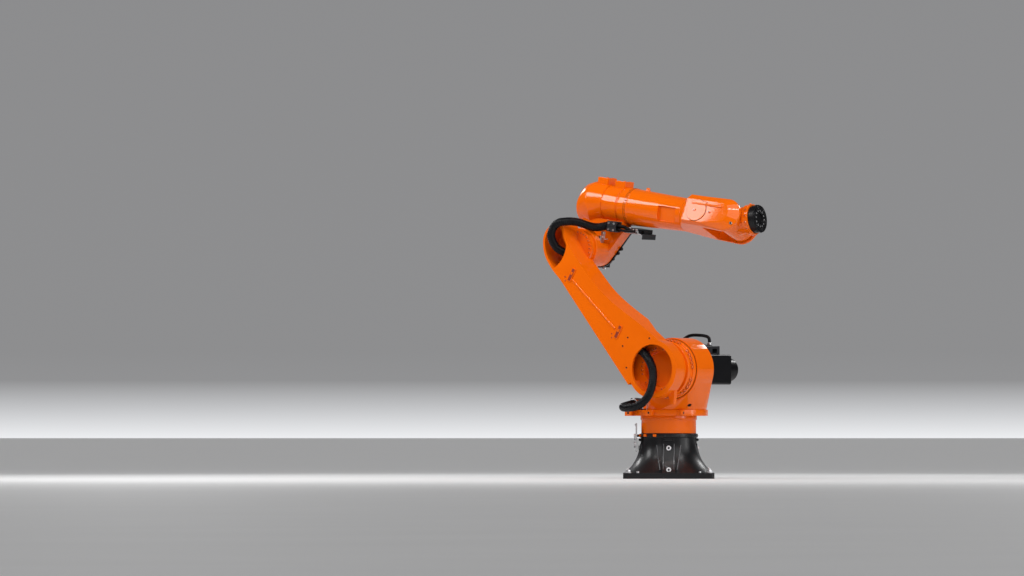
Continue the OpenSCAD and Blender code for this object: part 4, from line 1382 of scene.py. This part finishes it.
    def tail_cover(self) -> None:
        """Round lid on the housing's rear end, with its screws."""
        form = Form(STANCE.forearm() @ tuned((self.tail_end, 0.0, -self.tail_drop), BEHIND))
        top = form.frame @ tuned((0.0, 0.0, 5.0))
        form.turned([(0.0, -1.0), (66.0, -1.0), (66.0, 3.0), (64.0, 5.0), (30.0, 5.0),
                     (28.0, 3.6), (0.0, 3.6)], Matrix.Identity(4), 48)
        form.piece("tail_lid", Body.ELBOW, [ORANGE], Slot.ORANGE)
        fasten("tail_screws", Body.ELBOW, [ORANGE_HEADS_PAINTED_HIGHLIGHT, SEAL_AND_HOLE_SHADE], Slot.ORANGE,
               (Screw(4.6, 4.6), ring_places(self.tail_circle, range(0, 360, 45), top)))


@dataclass
class Wrist:
    """Forearm tube, fork, hand and tool flange."""

    roll_joint: float = 185.0
    tube_radius: float = 104.0
    nub_reach: float = 270.0
    nub_height: float = 100.0
    ridge: Profile = ((131.0, 1508.0), (176.0, 1501.0), (244.0, 1490.0), (292.0, 1482.0))
    ridge_radius: float = 6.5
    face_bolts: Sequence[tuple[str, float, float]] = (
        ("wrist_cover", 140.0, 1471.0), ("wrist_fork", 221.0, 1457.0))
    cheek_bolt: tuple[float, float] = (338.0, 1394.0)
    cover_centre: Point = (697.8, -140.5, -6.0)
    cover_radius: float = 62.0
    cover_corner: float = 54.0
    seam_radius: float = 1.7
    collar_reach: float = 109.0
    collar_radius: float = 84.0
    tool_face: float = 158.0
    screw_circle: float = 44.0
    ring_circle: float = 62.5
    rim_radius: float = 76.2

    def build(self) -> None:
        """Dresses the forearm's pieces and adds their fasteners."""
        dress(Body.FOREARM, ORANGE, Slot.ORANGE, {"forearm_tube": 2.5})
        dress(Body.FOREARM, ORANGE, Slot.ORANGE, {"wrist_fork": 15.0}, 20.0)
        dress(Body.FOREARM, ORANGE, Slot.ORANGE, {"wrist_cover": 1.6})
        dress(Body.HAND, ORANGE, Slot.ORANGE, {"hand": 5.0})
        dress(Body.TOOL, FLANGE, Slot.MOTOR, {"tool_flange": 2.0})
        self.roll_marks()
        self.nub()
        self.fork_details()
        self.cover_seam()
        self.hand_screws()
        self.flange_details()

    def roll_marks(self) -> None:
        """Dark joint line and dashes round the rolling joint."""
        form = Form(STANCE.wrist())
        radius = self.tube_radius
        form.turned(band(radius - 5.0, radius + 0.5, -0.5, 1.0),
                    tuned((self.roll_joint, 0.0, 0.0), AHEAD), 96)
        mark = tuned((self.roll_joint + 10.0, 0.0, radius))
        for angle in range(-180, 180, 6):
            length = 7.0 if angle % 30 else 12.0
            form.block((length, 3.4, 1.0), turn(angle, "X") @ mark, 0.2)
        form.piece("roll_marks", Body.FOREARM, [SEAL_AND_HOLE_SHADE], Slot.RUBBER)

    def nub(self) -> None:
        """Small lifting boss on top of the tube."""
        form = Form(STANCE.forearm())
        form.turned([(0.0, -4.0), (15.0, -4.0), (13.0, 2.0), (10.5, 6.0), (10.5, 13.0),
                     (8.5, 16.0), (0.0, 16.8)],
                    tuned((self.nub_reach, 0.0, self.nub_height)), 28)
        form.piece("tube_boss", Body.FOREARM, [ORANGE], Slot.ORANGE)

    def fork_details(self) -> None:
        """Bead across the fork's face, the cover's screws and the pin low on the fork."""
        fork = Surface("wrist_fork")
        bead = Form()
        spots = [fork.front(x, z).translation / MM for x, z in self.ridge]
        bead.cord(route(spots, 10.0), self.ridge_radius, 14, MOTOR_SIDE)
        bead.piece("fork_bead", Body.FOREARM, [ORANGE], Slot.ORANGE)
        fasten("fork_screws", Body.FOREARM, [ORANGE_HEADS_PAINTED_HIGHLIGHT, SEAL_AND_HOLE_SHADE], Slot.ORANGE,
               (Screw(7.6, 6.0), [Surface(node).front(x, z) for node, x, z in self.face_bolts]))
        fasten("fork_pin", Body.FOREARM, [STEEL, SEAL_AND_HOLE_SHADE], Slot.STEEL,
               (Screw(8.0, 7.0), [fork.front(*self.cheek_bolt)]))

    def cover_seam(self) -> None:
        """Dark line round the cover: a circle with one square corner."""
        form = Form(STANCE.wrist())
        centre = Vector(self.cover_centre)
        meet = math.degrees(math.acos(self.cover_corner / self.cover_radius))
        step = 5.0
        turns = [math.radians(90.0 - meet + step * i)
                 for i in range(round((270.0 + 2 * meet) / step) + 1)]
        line = [centre + Vector((math.cos(t), 0.0, math.sin(t))) * self.cover_radius
                for t in turns]
        corner = centre + Vector((self.cover_corner, 0.0, self.cover_corner))
        first, last = line[0], line[-1]
        quarters = [i / 4 for i in range(1, 5)]
        line += [last.lerp(corner, q) for q in quarters] + [corner.lerp(first, q) for q in quarters]
        form.cord([point * MM for point in line], self.seam_radius, 8, MOTOR_SIDE)
        form.piece("cover_seam", Body.FOREARM, [SEAL_AND_HOLE_SHADE], Slot.RUBBER)

    def hand_screws(self) -> None:
        """Screws round the hand's collar."""
        spot = tuned((self.collar_reach, 0.0, self.collar_radius - 1.0))
        # Key holes of these screws in painted shade.
        fasten("collar_screws", Body.HAND, [ORANGE_HEADS_PAINTED_HIGHLIGHT, PAINTED_SHADE], Slot.ORANGE,
               (Screw(6.6, 6.0), [STANCE.hand() @ turn(a, "X") @ spot for a in range(0, 360, 24)]))

    def flange_details(self) -> None:
        """Screws, rings and rim lands on the tool flange."""
        face = STANCE.hand() @ tuned((self.tool_face, 0.0, 0.0), AHEAD)
        # Key holes and ring holes dark as painted shade.
        fasten("flange_screws", Body.TOOL, [STEEL, SEAL_AND_HOLE_SHADE], Slot.STEEL,
               (Screw(4.4, 2.6), ring_places(self.screw_circle, range(10, 370, 30), face)))
        fasten("flange_rings", Body.TOOL, [DARK, SEAL_AND_HOLE_SHADE], Slot.DARK,
               (Eyelet(8.0, 1.2, 5.2), ring_places(self.ring_circle, range(30, 390, 60), face)))
        rim = Form(STANCE.hand())
        land = tuned((self.tool_face - 10.0, 0.0, self.rim_radius))
        for angle in range(0, 360, 30):
            rim.block((9.0, 13.0, 2.6), turn(angle, "X") @ land, 1.0)
        rim.piece("flange_lands", Body.TOOL, [FLANGE], Slot.MOTOR)


def main() -> None:
    """Builds the arm's pieces and the studio."""
    logging.basicConfig(level=logging.INFO, format="%(message)s")
    for part in (Studio(), Hoses(), Pedestal(), Column(), LinkArm(), Elbow(), Wrist()):
        LOG.info("building %s", type(part).__name__)
        part.build()


if __name__ == "__main__":
    main()
